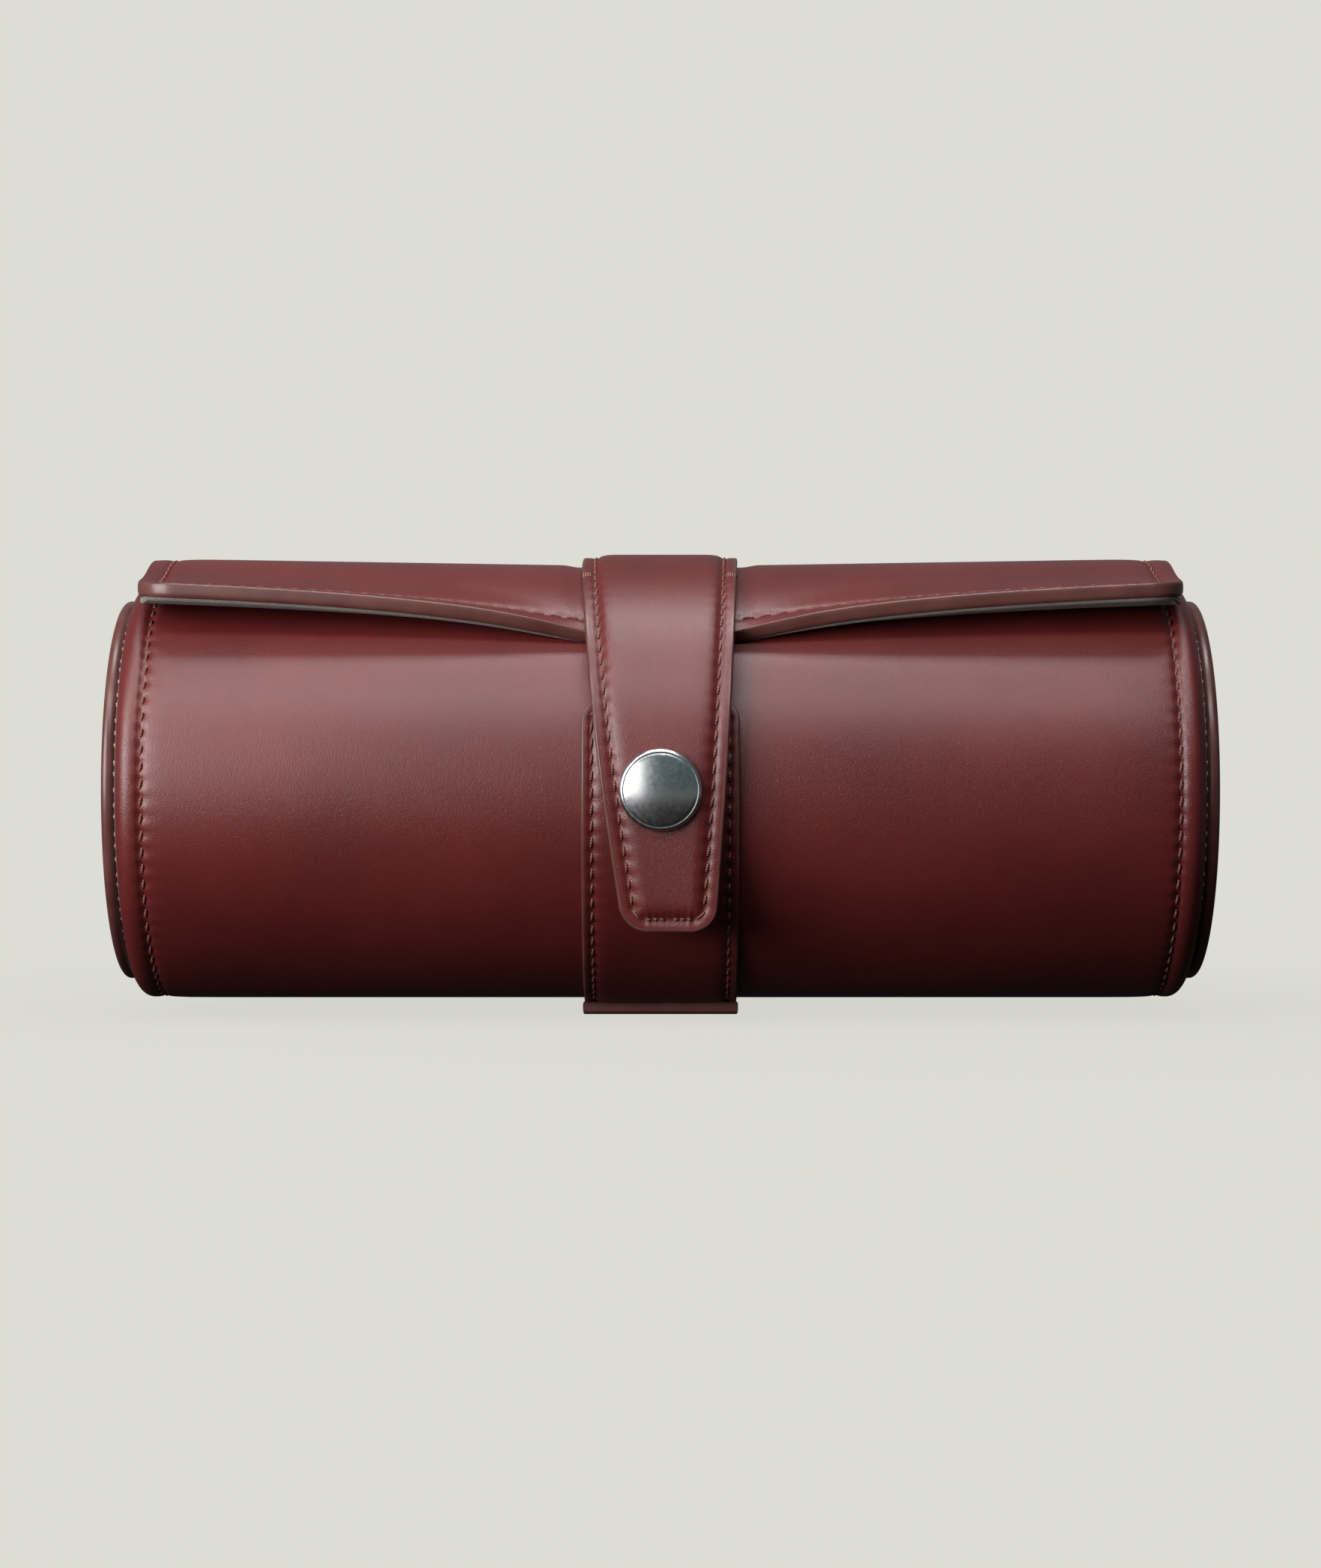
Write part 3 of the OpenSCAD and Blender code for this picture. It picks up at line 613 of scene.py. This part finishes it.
def polished_nickel(name, colour, rough):
    """Brass plated with bright nickel and buffed: a mirror with hairline marks and a faint haze."""
    material, tree, shader = new_material(name)
    coords = add(tree, "ShaderNodeTexCoord")
    hair = add(tree, "ShaderNodeTexNoise", {},
               {"Vector": coords.outputs["Object"], "Scale": 1400, "Detail": 4, "Roughness": 0.7})
    gloss = add(tree, "ShaderNodeMapRange", {},
                {"Value": hair.outputs[0], "To Min": rough * 0.7, "To Max": rough * 1.5})
    shade = add(tree, "ShaderNodeValToRGB", {}, {"Fac": hair.outputs[0]},
                [(0.3, srgb(colour)), (0.8, srgb("#e9e9e8"))])
    tree.links.new(shade.outputs[0], shader.inputs["Base Color"])
    tree.links.new(gloss.outputs[0], shader.inputs["Roughness"])
    shader.inputs["Metallic"].default_value = 1.0
    return material


def pressed_board(name, colour, light):
    """Pressed fibre board: matt and flecked."""
    material, tree, shader = new_material(name)
    coords = add(tree, "ShaderNodeTexCoord")
    flecks = add(tree, "ShaderNodeTexNoise", {},
                 {"Vector": coords.outputs["Object"], "Scale": 900, "Detail": 4})
    shade = add(tree, "ShaderNodeValToRGB", {}, {"Fac": flecks.outputs[0]},
                [(0.35, srgb(colour)), (0.7, srgb(light))])
    tree.links.new(shade.outputs[0], shader.inputs["Base Color"])
    shader.inputs["Roughness"].default_value = 0.85
    return material


CALF = calf_leather("boxed_calf_burgundy", "#5f1f1e", "#551a1a", "#692625", True)
CALF_TURNED = calf_leather("boxed_calf_burgundy_cap", "#5d201f", "#521a1a", "#682726", False, 0.3)
CALF_BACK = calf_leather("split_calf_backing", "#431d1b", "#391817", "#4d2522", True, 0.4)
PAINT = edge_paint("acrylic_edge_paint_brown", "#512c28", "#603a35")
SUEDE = suede_nap("sanded_suede_taupe", "#686058", "#524b44", "#80766c")
THREAD = waxed_thread("bonded_thread_russet", "#3c1613", "#8f574a")
WHIP = waxed_thread("bonded_thread_natural", "#6e5247", "#c4ad9c")
NICKEL = polished_nickel("bright_nickel_plate", "#d6d6d4", 0.2)
BOARD = pressed_board("pressed_fibre_board", "#8a7a62", "#a39478")

# The case's leather goes round each end in a shoulder, and the end seam draws it in.
case_q0 = math.radians(LIP) * SHELL_R
case_q1 = math.radians(CASE_LEATHER_BACK) * SHELL_R
shoulder_len = SHOULDER_R * math.pi / 2
case_half = SHELL_HALF - SHOULDER_R + shoulder_len


def case_relief(u, q):
    d = CASE_SEAM_X - abs(u)
    field = 0.3 * (1 - math.exp(-max(0, d) / 2.2))
    roll = 0.18 * math.sin(math.pi * clamp(-d / CASE_SEAM_ROLL))
    return field + roll - pucker(d, q, 0, CASE_PITCH, 0.62)


def case_surface(u, q, side):
    start = SHELL_HALF - SHOULDER_R
    around = clamp((abs(u) - start) / shoulder_len) * math.pi / 2
    d_lip = q - case_q0
    round_lip = rounded_edge(d_lip, CASE_EDGE_T, LIP_PAINT)
    if side >= 0:
        if abs(u) <= start:
            x, r = abs(u), SHELL_R + case_relief(u, q)
        else:
            lift = case_relief(u, q)
            x = start + (SHOULDER_R + lift) * math.sin(around)
            r = SHELL_R - SHOULDER_R + (SHOULDER_R + lift) * math.cos(around)
    else:
        x, r = min(abs(u), CAP_INNER + 0.3), BOARD_R
    middle = (SHELL_R + BOARD_R) / 2
    if side == 0 and abs(u) > case_half - 0.001:
        x, r = CAP_INNER + 0.6, SHELL_R - SHOULDER_R - 0.1
    elif d_lip < LIP_PAINT and abs(u) < case_half - 0.001:
        drawn = middle + (r - middle) * round_lip
        r = min(r, drawn) if side >= 0 else drawn
        x -= 0.35 * (1 - round_lip) * smooth((abs(u) - start) / 2)
    return on_roll(math.copysign(x, u), math.degrees(q / SHELL_R), r)


case_columns = columns_for(case_half, 11, 0.55, 5)
case_rows = rows_for(case_q0, case_q1, CASE_PITCH / 4, 1.6, 1.6)
case = sheet("case_outer_leather", case_columns, case_rows, case_surface,
             lambda x, q, side: 1 if q - case_q0 < LIP_PAINT else 0, [CALF, PAINT])
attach(case, "case")
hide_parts("case_leather", "case_board")

# The suede inside the case.
lining_rows = rows_for(math.radians(LIP + 0.8) * SHELL_R, math.radians(CASE_BACK - 0.4) * SHELL_R,
                       3, 1.6, 1.6)


def lining_surface(x, q, side):
    d = min(q - lining_rows[0], lining_rows[-1] - q)
    return case_point(x, q, 0.52 + side * 0.5 * rounded_edge(d, 1, 0.6))


lining = sheet("case_suede", columns_for(CAP_INNER + 0.5, 4, 1, 6), lining_rows, lining_surface,
               lambda x, q, side: 0, [SUEDE])
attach(lining, "case")
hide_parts("case_lining")

# The flap: its leather runs on over the hinge and is sewn to its suede all round.
flap_q0 = math.radians(CASE_LEATHER_BACK - 360) * FLAP_R
FLAP_EDGE = FLAP_HALF - 0.7
flap = Layout(FLAP_EDGE, flap_q0, FLAP_FRONT, FLAP_CORNER)


def flap_relief(x, q):
    d = flap.to_edge(x, q)
    strap_side = abs(x) - CHANNEL_HALF
    rise = (1 - math.exp(-max(0, d - FLAP_SEAM) / 2.2)) * smooth(strap_side / 3.5)
    back = smooth((q - math.radians(FLAP_BACK) * FLAP_R) / 8)
    dome = 0.16 * math.sin(math.pi * clamp(d / FLAP_SEAM))
    groove = pucker(d, flap.along(x, q, FLAP_SEAM), FLAP_SEAM, FLAP_PITCH, 0.46)
    return back * (0.05 + 0.42 * rise + dome - groove)


def flap_surface(x, q, side):
    d = flap.to_edge(x, q)
    share = rounded_edge(d, FLAP_T, 0.5 if side > 0 else 0.9)
    rx, rq = flap.rounded(x, q)
    on_case = q < math.radians(FLAP_BACK - 1) * FLAP_R
    low = 1.3 if on_case else 0.15 + 0.9 * smooth((d - 0.3) / 0.7)
    top = FLAP_T + flap_relief(x, q)
    return flap_point(rx, rq, level(side, share, low, FLAP_T / 2, top))


flap_front_rows = [FLAP_FRONT - d for d in reversed(edge_lines(7.3, 0.8)[:-1])]
flap_rows = spaced(flap_q0, FLAP_FRONT - 7.7, 0.8) + flap_front_rows


def flap_finish(x, q, side):
    painted = flap.to_edge(x, q) < (0.3 if side > 0 else 1.2)
    return 1 if painted and q > FLAP_PAINT_BACK else 0


flap_sheet = sheet("flap_outer_leather", columns_for(FLAP_EDGE, 8, 0.6, 0.8), flap_rows, flap_surface,
                   flap_finish, [CALF, PAINT])
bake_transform(flap_sheet)
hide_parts("flap_leather", "flap_padding")

flap_suede = Layout(FLAP_EDGE - FLAP_SUEDE_INSET, math.radians(FLAP_BACK) * FLAP_R + FLAP_SUEDE_INSET,
                    FLAP_FRONT - FLAP_SUEDE_INSET, FLAP_CORNER - FLAP_SUEDE_INSET, free_start=True)


def flap_suede_surface(x, q, side):
    share = rounded_edge(flap_suede.to_edge(x, q), 1, 0.6)
    rx, rq = flap_suede.rounded(x, q)
    amount = 0.4 + (0.95 + 0.3 * clamp(x / 40)) * smooth((FLAP_FRONT - q) / 4.5)
    sag = amount * smooth((q - 15) / 9) * flap_slack(x)
    return flap_point(rx, rq, 0.5 - sag + side * share * 0.5)


flap_suede_sheet = sheet("flap_suede", columns_for(flap_suede.half, 8, 1, 3),
                         rows_for(flap_suede.start, flap_suede.end, 2, 1.6, 7.2), flap_suede_surface,
                         lambda x, q, side: 0, [SUEDE])
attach(flap_suede_sheet, "flap")
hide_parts("flap_lining")

# Strap: tapered, padded along its middle, with painted edges.
strap_q0 = strap_length(-6)
strap_q1 = strap_length(STRAP_TIP)
strap = Layout(STRAP_HALF, strap_q0, strap_q1, STRAP_CORNER, free_start=True)


def padded_relief(d, along, inset, pitch, rise, depth):
    """Height over the margin of a strap that is sewn along its edges over a padded middle."""
    dome = 0.08 * math.sin(math.pi * clamp(d / inset))
    middle = rise * (1 - math.exp(-(max(0, d - inset) / 1.15) ** 1.3))
    return dome + middle - pucker(d, along, inset, pitch, depth)


def strap_surface(x, q, side):
    d = strap.to_edge(x, q)
    share = rounded_edge(d, STRAP_MARGIN_T, 0.62)
    rx, rq = strap.rounded(x, q)
    along = strap.along(x, q, STRAP_SEAM)
    side_d = min(STRAP_HALF - abs(x), strap.end - q)
    top = STRAP_MARGIN_T + padded_relief(side_d, along, STRAP_SEAM, STRAP_PITCH, 0.72, 0.42)
    return strap_point(rx, rq, level(side, share, 0, STRAP_MARGIN_T / 2, top))


strap_sheet = sheet("strap_leather_padded", columns_for(STRAP_HALF, 7, 0.5, 1.2),
                    rows_for(strap_q0, strap_q1, STRAP_PITCH / 4, 1.6, 7.2), strap_surface,
                    lambda x, q, side: 1 if strap.to_edge(x, q) < STRAP_PAINT else 0 if side > 0 else 2,
                    [CALF, PAINT, CALF_BACK])
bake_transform(strap_sheet)
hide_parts("strap_leather", "strap_padding", "strap_lining")

# Belt: from the strap's root, over the back and the hinge, to its end under the front.
belt_q0 = math.radians(BELT_END - 360) * BELT_LAY_R
belt_q1 = math.radians(-6.25) * BELT_LAY_R
belt = Layout(STRAP_HALF, belt_q0, belt_q1, 2, at_end=False, free_start=True)


def belt_surface(x, q, side):
    d = min(belt.to_edge(x, q), belt_q1 - q)
    share = rounded_edge(d, STRAP_MARGIN_T, BELT_PAINT, 0)
    on_top = smooth((q - math.radians(FLAP_BACK) * BELT_LAY_R) / 15)
    margin = mix(BELT_T, STRAP_MARGIN_T, on_top)
    side_d = STRAP_HALF - abs(x)
    relief = padded_relief(side_d, q, STRAP_SEAM, STRAP_PITCH, 0.66 * on_top, 0.34)
    top = margin + relief * smooth((q - math.radians(200 - 360) * BELT_LAY_R) / 8)
    return belt_point(x, q, level(side, share, 0, margin / 2, top))


belt_sheet = sheet("belt_leather_strip", columns_for(STRAP_HALF, 7, 0.5, 1.6),
                   rows_for(belt_q0, belt_q1, STRAP_PITCH / 4, 1.6, 1.6), belt_surface,
                   lambda x, q, side: 1 if min(belt.to_edge(x, q), belt_q1 - q) < BELT_PAINT else 0,
                   [CALF, PAINT])
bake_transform(belt_sheet)
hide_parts("belt_leather", "belt_backing", "flap_belt_leather", "flap_belt_backing")

# Keeper: the flat strip on the front that the strap snaps to.
keeper_q0 = math.radians(KEEPER_TOP) * KEEPER_LAY_R
keeper_q1 = math.radians(KEEPER_END) * KEEPER_LAY_R
keeper = Layout(KEEPER_W / 2, keeper_q0, keeper_q1, KEEPER_CORNER, at_start=True, at_end=False)


def keeper_surface(x, q, side):
    d = keeper.to_edge(x, q)
    share = rounded_edge(d, KEEPER_T, KEEPER_PAINT)
    rx, rq = keeper.rounded(x, q)
    along = keeper.along(x, q, KEEPER_SEAM)
    top = KEEPER_T + padded_relief(d, along, KEEPER_SEAM, STRAP_PITCH, 0.3, 0.4)
    return keeper_point(rx, rq, level(side, share, 0, KEEPER_T / 2, top))


keeper_sheet = sheet("keeper_leather_strip", columns_for(KEEPER_W / 2, 6, 0.5, 1.6),
                     rows_for(keeper_q0, keeper_q1, STRAP_PITCH / 4, 6.2, 1.6), keeper_surface,
                     lambda x, q, side: 1 if keeper.to_edge(x, q) < KEEPER_PAINT else 0, [CALF, PAINT])
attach(keeper_sheet, "case")
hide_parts("keeper_leather", "keeper_backing")


def arc(radius, height, wide, tall, first, last):
    """Points of a rounded edge of a profile, every 15 degrees."""
    turns = [math.radians(degrees) for degrees in range(first, last + 1, 15)]
    return [(radius + wide * math.cos(a), height + tall * math.sin(a)) for a in turns]


# End caps: a leather face over board, with a painted round rim, and suede inside.
cap_profile = ([(0, 0.9), (20, 0.9), (CAP_R - 0.9, 0.95)]
               + arc(CAP_R - 1.3, 2.2, 1.3, 1.3, -75, 0) + arc(CAP_R - 1.2, 2.4, 1.2, 1.0, 0, 90)
               + [(CAP_R - 1.9, 3.36), (CAP_R - 2.8, 3.18), (CAP_R - 3.1, 3.12), (CAP_R - 3.5, 3.2),
                  (CAP_R - 4.6, 3.34), (26, CAP_T), (18, CAP_T), (9, CAP_T), (0, CAP_T)])
inner_profile = [(0, 0.02), (20, 0.02), (LINING_R - 0.7, 0.02), (LINING_R - 0.2, 0.06),
                 (LINING_R + 0.06, 0.22), (LINING_R + 0.06, 0.6), (LINING_R - 0.2, 0.84),
                 (LINING_R - 0.7, 0.88), (20, 0.88), (0, 0.88)]
for side, word in ((-1, "left"), (1, "right")):
    turn = Matrix.Rotation(math.radians(90 * side), 4, "Y")
    seat = (side * CAP_INNER, 0, ROLL_Z)
    cap = lathe("end_cap_" + word, cap_profile, turn, [CALF_TURNED, PAINT], 144, seat,
                index=lambda r, h: 1 if r > CAP_R - 1.75 and h > 0.96 else 0)
    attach(cap, "case")
    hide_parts("end_leather_" + word, "end_board_" + word)
    inner = lathe("end_suede_" + word, inner_profile, turn, [SUEDE], 144, seat)
    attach(inner, "case")
    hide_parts("end_lining_" + word)


def dress(node, material):
    """Gives a CAD node that stays, or its hidden stand-in, its own material."""
    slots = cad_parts[node].data.materials
    slots.clear()
    slots.append(material)


# Snap: a polished cap with a rolled rim on the strap.
cap_seat = STRAP_SNAP_R + STRAP_T - 0.05
snap_r = CAP_D / 2
snap_profile = ([(0, 0), (snap_r - 0.9, 0), (snap_r - 0.35, 0.12)]
                + arc(snap_r - 0.75, 0.75, 0.75, 0.75, -45, 75) + [(6.86, 1.48), (6.72, 1.41)]
                + [(at, 1.42 + 0.78 * (1 - (at / 6.9) ** 2)) for at in (6.6, 6, 5.2, 4.4, 3.4, 2.3, 1.1, 0)])
snap_turn = Matrix.Rotation(math.radians(SNAP), 4, "X")
snap = lathe("snap_cap_polished", snap_profile, snap_turn, [NICKEL], 96, (0, 0, ROLL_Z), lift=cap_seat)
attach(snap, "strap")
for name in ("snap_cap", "snap_socket", "snap_stud", "snap_rivet"):
    dress(name, NICKEL)
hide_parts("snap_cap")

# Dividers and cushions inside.
for word in ("left", "right"):
    dress("divider_board_" + word, BOARD)
    dress("divider_suede_" + word, SUEDE)
round_at = CUSHION_R - CUSHION_DRAW - CUSHION_ROUND
straight = CUSHION_HALF - CUSHION_ROUND
cushion_profile = ([(0, -CUSHION_HALF)] + arc(round_at, -straight, CUSHION_ROUND, CUSHION_ROUND, -90, -15)
                   + [(CUSHION_R - CUSHION_DRAW * u * u, u * straight) for u in [k / 8 for k in range(-8, 9)]]
                   + arc(round_at, straight, CUSHION_ROUND, CUSHION_ROUND, 15, 90) + [(0, CUSHION_HALF)])
cushion_turn = Matrix.Rotation(math.radians(90), 4, "Y")
for word, place in (("left", -1), ("centre", 0), ("right", 1)):
    cushion = lathe("cushion_" + word, cushion_profile, cushion_turn, [SUEDE], 96,
                    (place * PLACE_PITCH, 0, CUSHION_Z))
    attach(cushion, "case")
    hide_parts("cushion_cover_" + word, "cushion_foam_" + word)


# Seams.
def edge_seam(layout, side_length, gap, seam, pitch, height):
    """Stitches up both sides of a sheet and round its corners, to within gap of its middle line."""
    last = (layout.corner - seam) * math.pi / 2 + layout.half - layout.corner - gap
    places = []
    for side in (-1, 1):
        # Whole stitches back from where the corner starts.
        p = -math.floor(side_length / pitch) * pitch + pitch / 2
        while p < last:
            place, heading = layout.seam_place(p, seam, side)
            places.append((place, heading, height))
            p += pitch
    return places


case_places = []
for sign in (-1, 1):
    q = case_q0 + 2.4
    while q < case_q1 - 1:
        case_places.append(((sign * (CASE_SEAM_X - 0.15), q), (0, 1), 0))
        q += CASE_PITCH


def case_thread_point(u, q, t):
    return on_roll(u, math.degrees(q / SHELL_R), SHELL_R - 0.32 + t)


case_threads = stitches("case_end_stitches", case_places, case_thread_point, 2.4, 0.5, THREAD)
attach(case_threads, "case")

# The caps are whipped on with a paler thread, which shows as specks down in the groove.
whip_places = []
for sign in (-1, 1):
    for k in range(WHIP_COUNT):
        angle = math.radians(k * 360 / WHIP_COUNT) + 0.01 * math.sin(k * 2.4)
        place = (sign * (CAP_INNER + 0.95), angle * SHELL_R)
        whip_places.append((place, (0.35, 0.94), CAP_R - SHELL_R - 0.6))
whip_threads = stitches("cap_whip_stitches", whip_places, case_thread_point, 1.5, 0.5, WHIP)
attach(whip_threads, "case")

# The flap's seam along the front stops at the strap.
flap_places = edge_seam(flap, FLAP_FRONT - FLAP_CORNER - math.radians(FLAP_SEAM_BACK) * FLAP_R, 15,
                        FLAP_SEAM, FLAP_PITCH, FLAP_T - 0.16)
flap_threads = stitches("flap_edge_stitches", flap_places, flap_point, 2.4, 0.5, THREAD)
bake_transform(flap_threads)

strap_places = edge_seam(strap, strap_q1 - STRAP_CORNER - strap_q0 - 3, 0.8, STRAP_SEAM, STRAP_PITCH,
                         STRAP_MARGIN_T - 0.2)
# Whipped thread over both edges where the strap is sewn to the flap.
tack_q = strap_length(25.5)
for sign in (-1, 1):
    for k in range(3):
        strap_places.append(((sign * (STRAP_HALF - 1.05), tack_q + 0.62 * k), (sign, 0.12), 1.62))
for k in range(-3, 4):
    strap_places.append(((k * STRAP_PITCH, strap_q0 + 1.9), (1, 0), STRAP_MARGIN_T + 0.5))
strap_threads = stitches("strap_edge_stitches", strap_places, strap_point, 2.3, 0.48, THREAD)
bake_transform(strap_threads)

belt_places = []
for sign in (-1, 1):
    q = math.radians(206 - 360) * BELT_LAY_R
    q = math.ceil(q / STRAP_PITCH) * STRAP_PITCH + STRAP_PITCH / 2
    while q < belt_q1 - 3:
        on_top = smooth((q - math.radians(FLAP_BACK) * BELT_LAY_R) / 15)
        height = mix(BELT_T, STRAP_MARGIN_T, on_top) - 0.17
        belt_places.append(((sign * (STRAP_HALF - STRAP_SEAM), q), (0, 1), height))
        q += STRAP_PITCH
belt_threads = stitches("belt_edge_stitches", belt_places, belt_point, 2.3, 0.48, THREAD)
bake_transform(belt_threads)

keeper_places = edge_seam(keeper, math.radians(KEEPER_SEAM_END) * KEEPER_LAY_R - keeper_q0 - KEEPER_CORNER,
                          0.8, KEEPER_SEAM, STRAP_PITCH, KEEPER_T - 0.17)
keeper_threads = stitches("keeper_edge_stitches", keeper_places, keeper_point, 2.3, 0.46, THREAD)
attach(keeper_threads, "case")

# Floor, light and camera. The camera stands level with the roll's axis, in front of it.
CAMERA_D = 0.715
CAMERA_Z = 0.044
# The roll stays as large in the picture wherever the camera stands: 73.75 mm is for 0.620 m.
LENS = 73.75 * CAMERA_D / 0.620
camera_data = bpy.data.cameras.new("camera")
camera = bpy.data.objects.new("camera", camera_data)
bpy.context.scene.collection.objects.link(camera)
camera_data.sensor_width = 36
camera_data.lens = LENS
camera.location = (0, -CAMERA_D, CAMERA_Z)
camera.rotation_euler = (math.radians(90), 0, 0)
camera_data.clip_start, camera_data.clip_end = 0.01, 20
bpy.context.scene.camera = camera

PAPER = "#ddddd5"


def by_ray(tree, output, seen, mirrored, thrown):
    """One shader for the camera, one for what is mirrored, and one for the light it throws."""
    path = add(tree, "ShaderNodeLightPath")
    mirrors = add(tree, "ShaderNodeMath", {"operation": "MAXIMUM"},
                  {0: path.outputs["Is Glossy Ray"], 1: path.outputs["Is Transmission Ray"]})
    others = add(tree, "ShaderNodeMixShader", {},
                 {0: mirrors.outputs[0], 1: thrown.outputs[0], 2: mirrored.outputs[0]})
    choose = add(tree, "ShaderNodeMixShader", {},
                 {0: path.outputs["Is Camera Ray"], 1: others.outputs[0], 2: seen.outputs[0]})
    tree.links.new(choose.outputs[0], output.inputs["Surface"])


# Paper sweep, pale and even. It throws little light back, so the roll's belly stays dark.
floor_mat = bpy.data.materials.new("paper_floor")
floor_mat.use_nodes = True
tree = floor_mat.node_tree
tree.nodes.clear()
output = add(tree, "ShaderNodeOutputMaterial")
spot = add(tree, "ShaderNodeTexCoord")
reach = add(tree, "ShaderNodeVectorMath", {"operation": "LENGTH"}, {0: spot.outputs["Object"]})
dull = add(tree, "ShaderNodeBsdfDiffuse", {}, {"Color": srgb("#2c2b29")})
paper = add(tree, "ShaderNodeEmission", {}, {"Color": srgb(PAPER), "Strength": 1.0})
# Near the roll a share of the paper is lit by the lamps alone, so the roll's soft shadow falls on it.
near = add(tree, "ShaderNodeMapRange", {"interpolation_type": "SMOOTHSTEP"},
           {"Value": reach.outputs["Value"], "From Min": 0.06, "From Max": 0.3, "To Min": 0.1, "To Max": 0.0})
lit = add(tree, "ShaderNodeBsdfDiffuse", {}, {"Color": srgb("#a5a59f")})
seen = add(tree, "ShaderNodeMixShader", {}, {0: near.outputs[0], 1: paper.outputs[0], 2: lit.outputs[0]})
# In the nickel and the glaze of the leather the paper shows too, but for the part in the roll's shade.
share = add(tree, "ShaderNodeMapRange", {"interpolation_type": "SMOOTHSTEP"},
            {"Value": reach.outputs["Value"], "From Min": 0.15, "From Max": 0.9,
             "To Min": 0.02, "To Max": 0.35})
mirrored = add(tree, "ShaderNodeEmission", {}, {"Color": srgb(PAPER), "Strength": share.outputs[0]})
by_ray(tree, output, seen, mirrored, dull)
bm = bmesh.new()
bmesh.ops.create_grid(bm, x_segments=8, y_segments=8, size=1.2)
floor = finish_mesh("floor", bm, [floor_mat])

# Round the floor: the same paper behind the roll, and a dim blue-grey room on the side it faces.
world = bpy.data.worlds.new("studio")
bpy.context.scene.world = world
world.use_nodes = True
tree = world.node_tree
tree.nodes.clear()
output = add(tree, "ShaderNodeOutputWorld")
way = add(tree, "ShaderNodeTexCoord")
parts = add(tree, "ShaderNodeSeparateXYZ", {}, {0: way.outputs["Generated"]})
back = add(tree, "ShaderNodeBackground", {}, {"Color": srgb(PAPER), "Strength": 1.0})
room = add(tree, "ShaderNodeBackground", {}, {"Color": srgb("#445359"), "Strength": 1.0})
behind = add(tree, "ShaderNodeMapRange", {"interpolation_type": "SMOOTHSTEP"},
             {"Value": parts.outputs["Y"], "From Min": 0.4, "From Max": 1.0, "To Min": 0.0, "To Max": 0.2})
mirrored = add(tree, "ShaderNodeMixShader", {},
               {0: behind.outputs[0], 1: room.outputs[0], 2: back.outputs[0]})
# The paper behind also lights the back of the roll, which the camera doesn't see.
rear = add(tree, "ShaderNodeMapRange", {},
           {"Value": parts.outputs["Y"], "From Min": 0.15, "From Max": 0.8, "To Min": 0.012, "To Max": 0.5})
fill = add(tree, "ShaderNodeBackground", {}, {"Color": srgb("#f3f9ff"), "Strength": rear.outputs[0]})
by_ray(tree, output, back, mirrored, fill)


def soft_box(name, place, aim, size, watts):
    data = bpy.data.lights.new(name, "AREA")
    data.shape = "RECTANGLE"
    data.size, data.size_y = size
    data.energy = watts
    lamp = bpy.data.objects.new(name, data)
    bpy.context.scene.collection.objects.link(lamp)
    lamp.location = place
    lamp.rotation_euler = (Vector(aim) - Vector(place)).to_track_quat("-Z", "Y").to_euler()


soft_box("key", (-0.41, -0.38, 0.18), (-0.05, 0, 0.045), (0.34, 0.34), 3.7)
soft_box("front_top", (-0.12, -0.44, 0.60), (-0.06, 0, 0.05), (0.75, 0.14), 3.3)
soft_box("overhead", (0.0, -0.05, 0.70), (0, -0.04, 0.05), (0.45, 0.10), 2.7)
soft_box("card", (-0.25, -0.57, 0.14), (0, -0.045, 0.043), (0.26, 0.28), 0.42)

bpy.context.scene.view_settings.view_transform = "Standard"
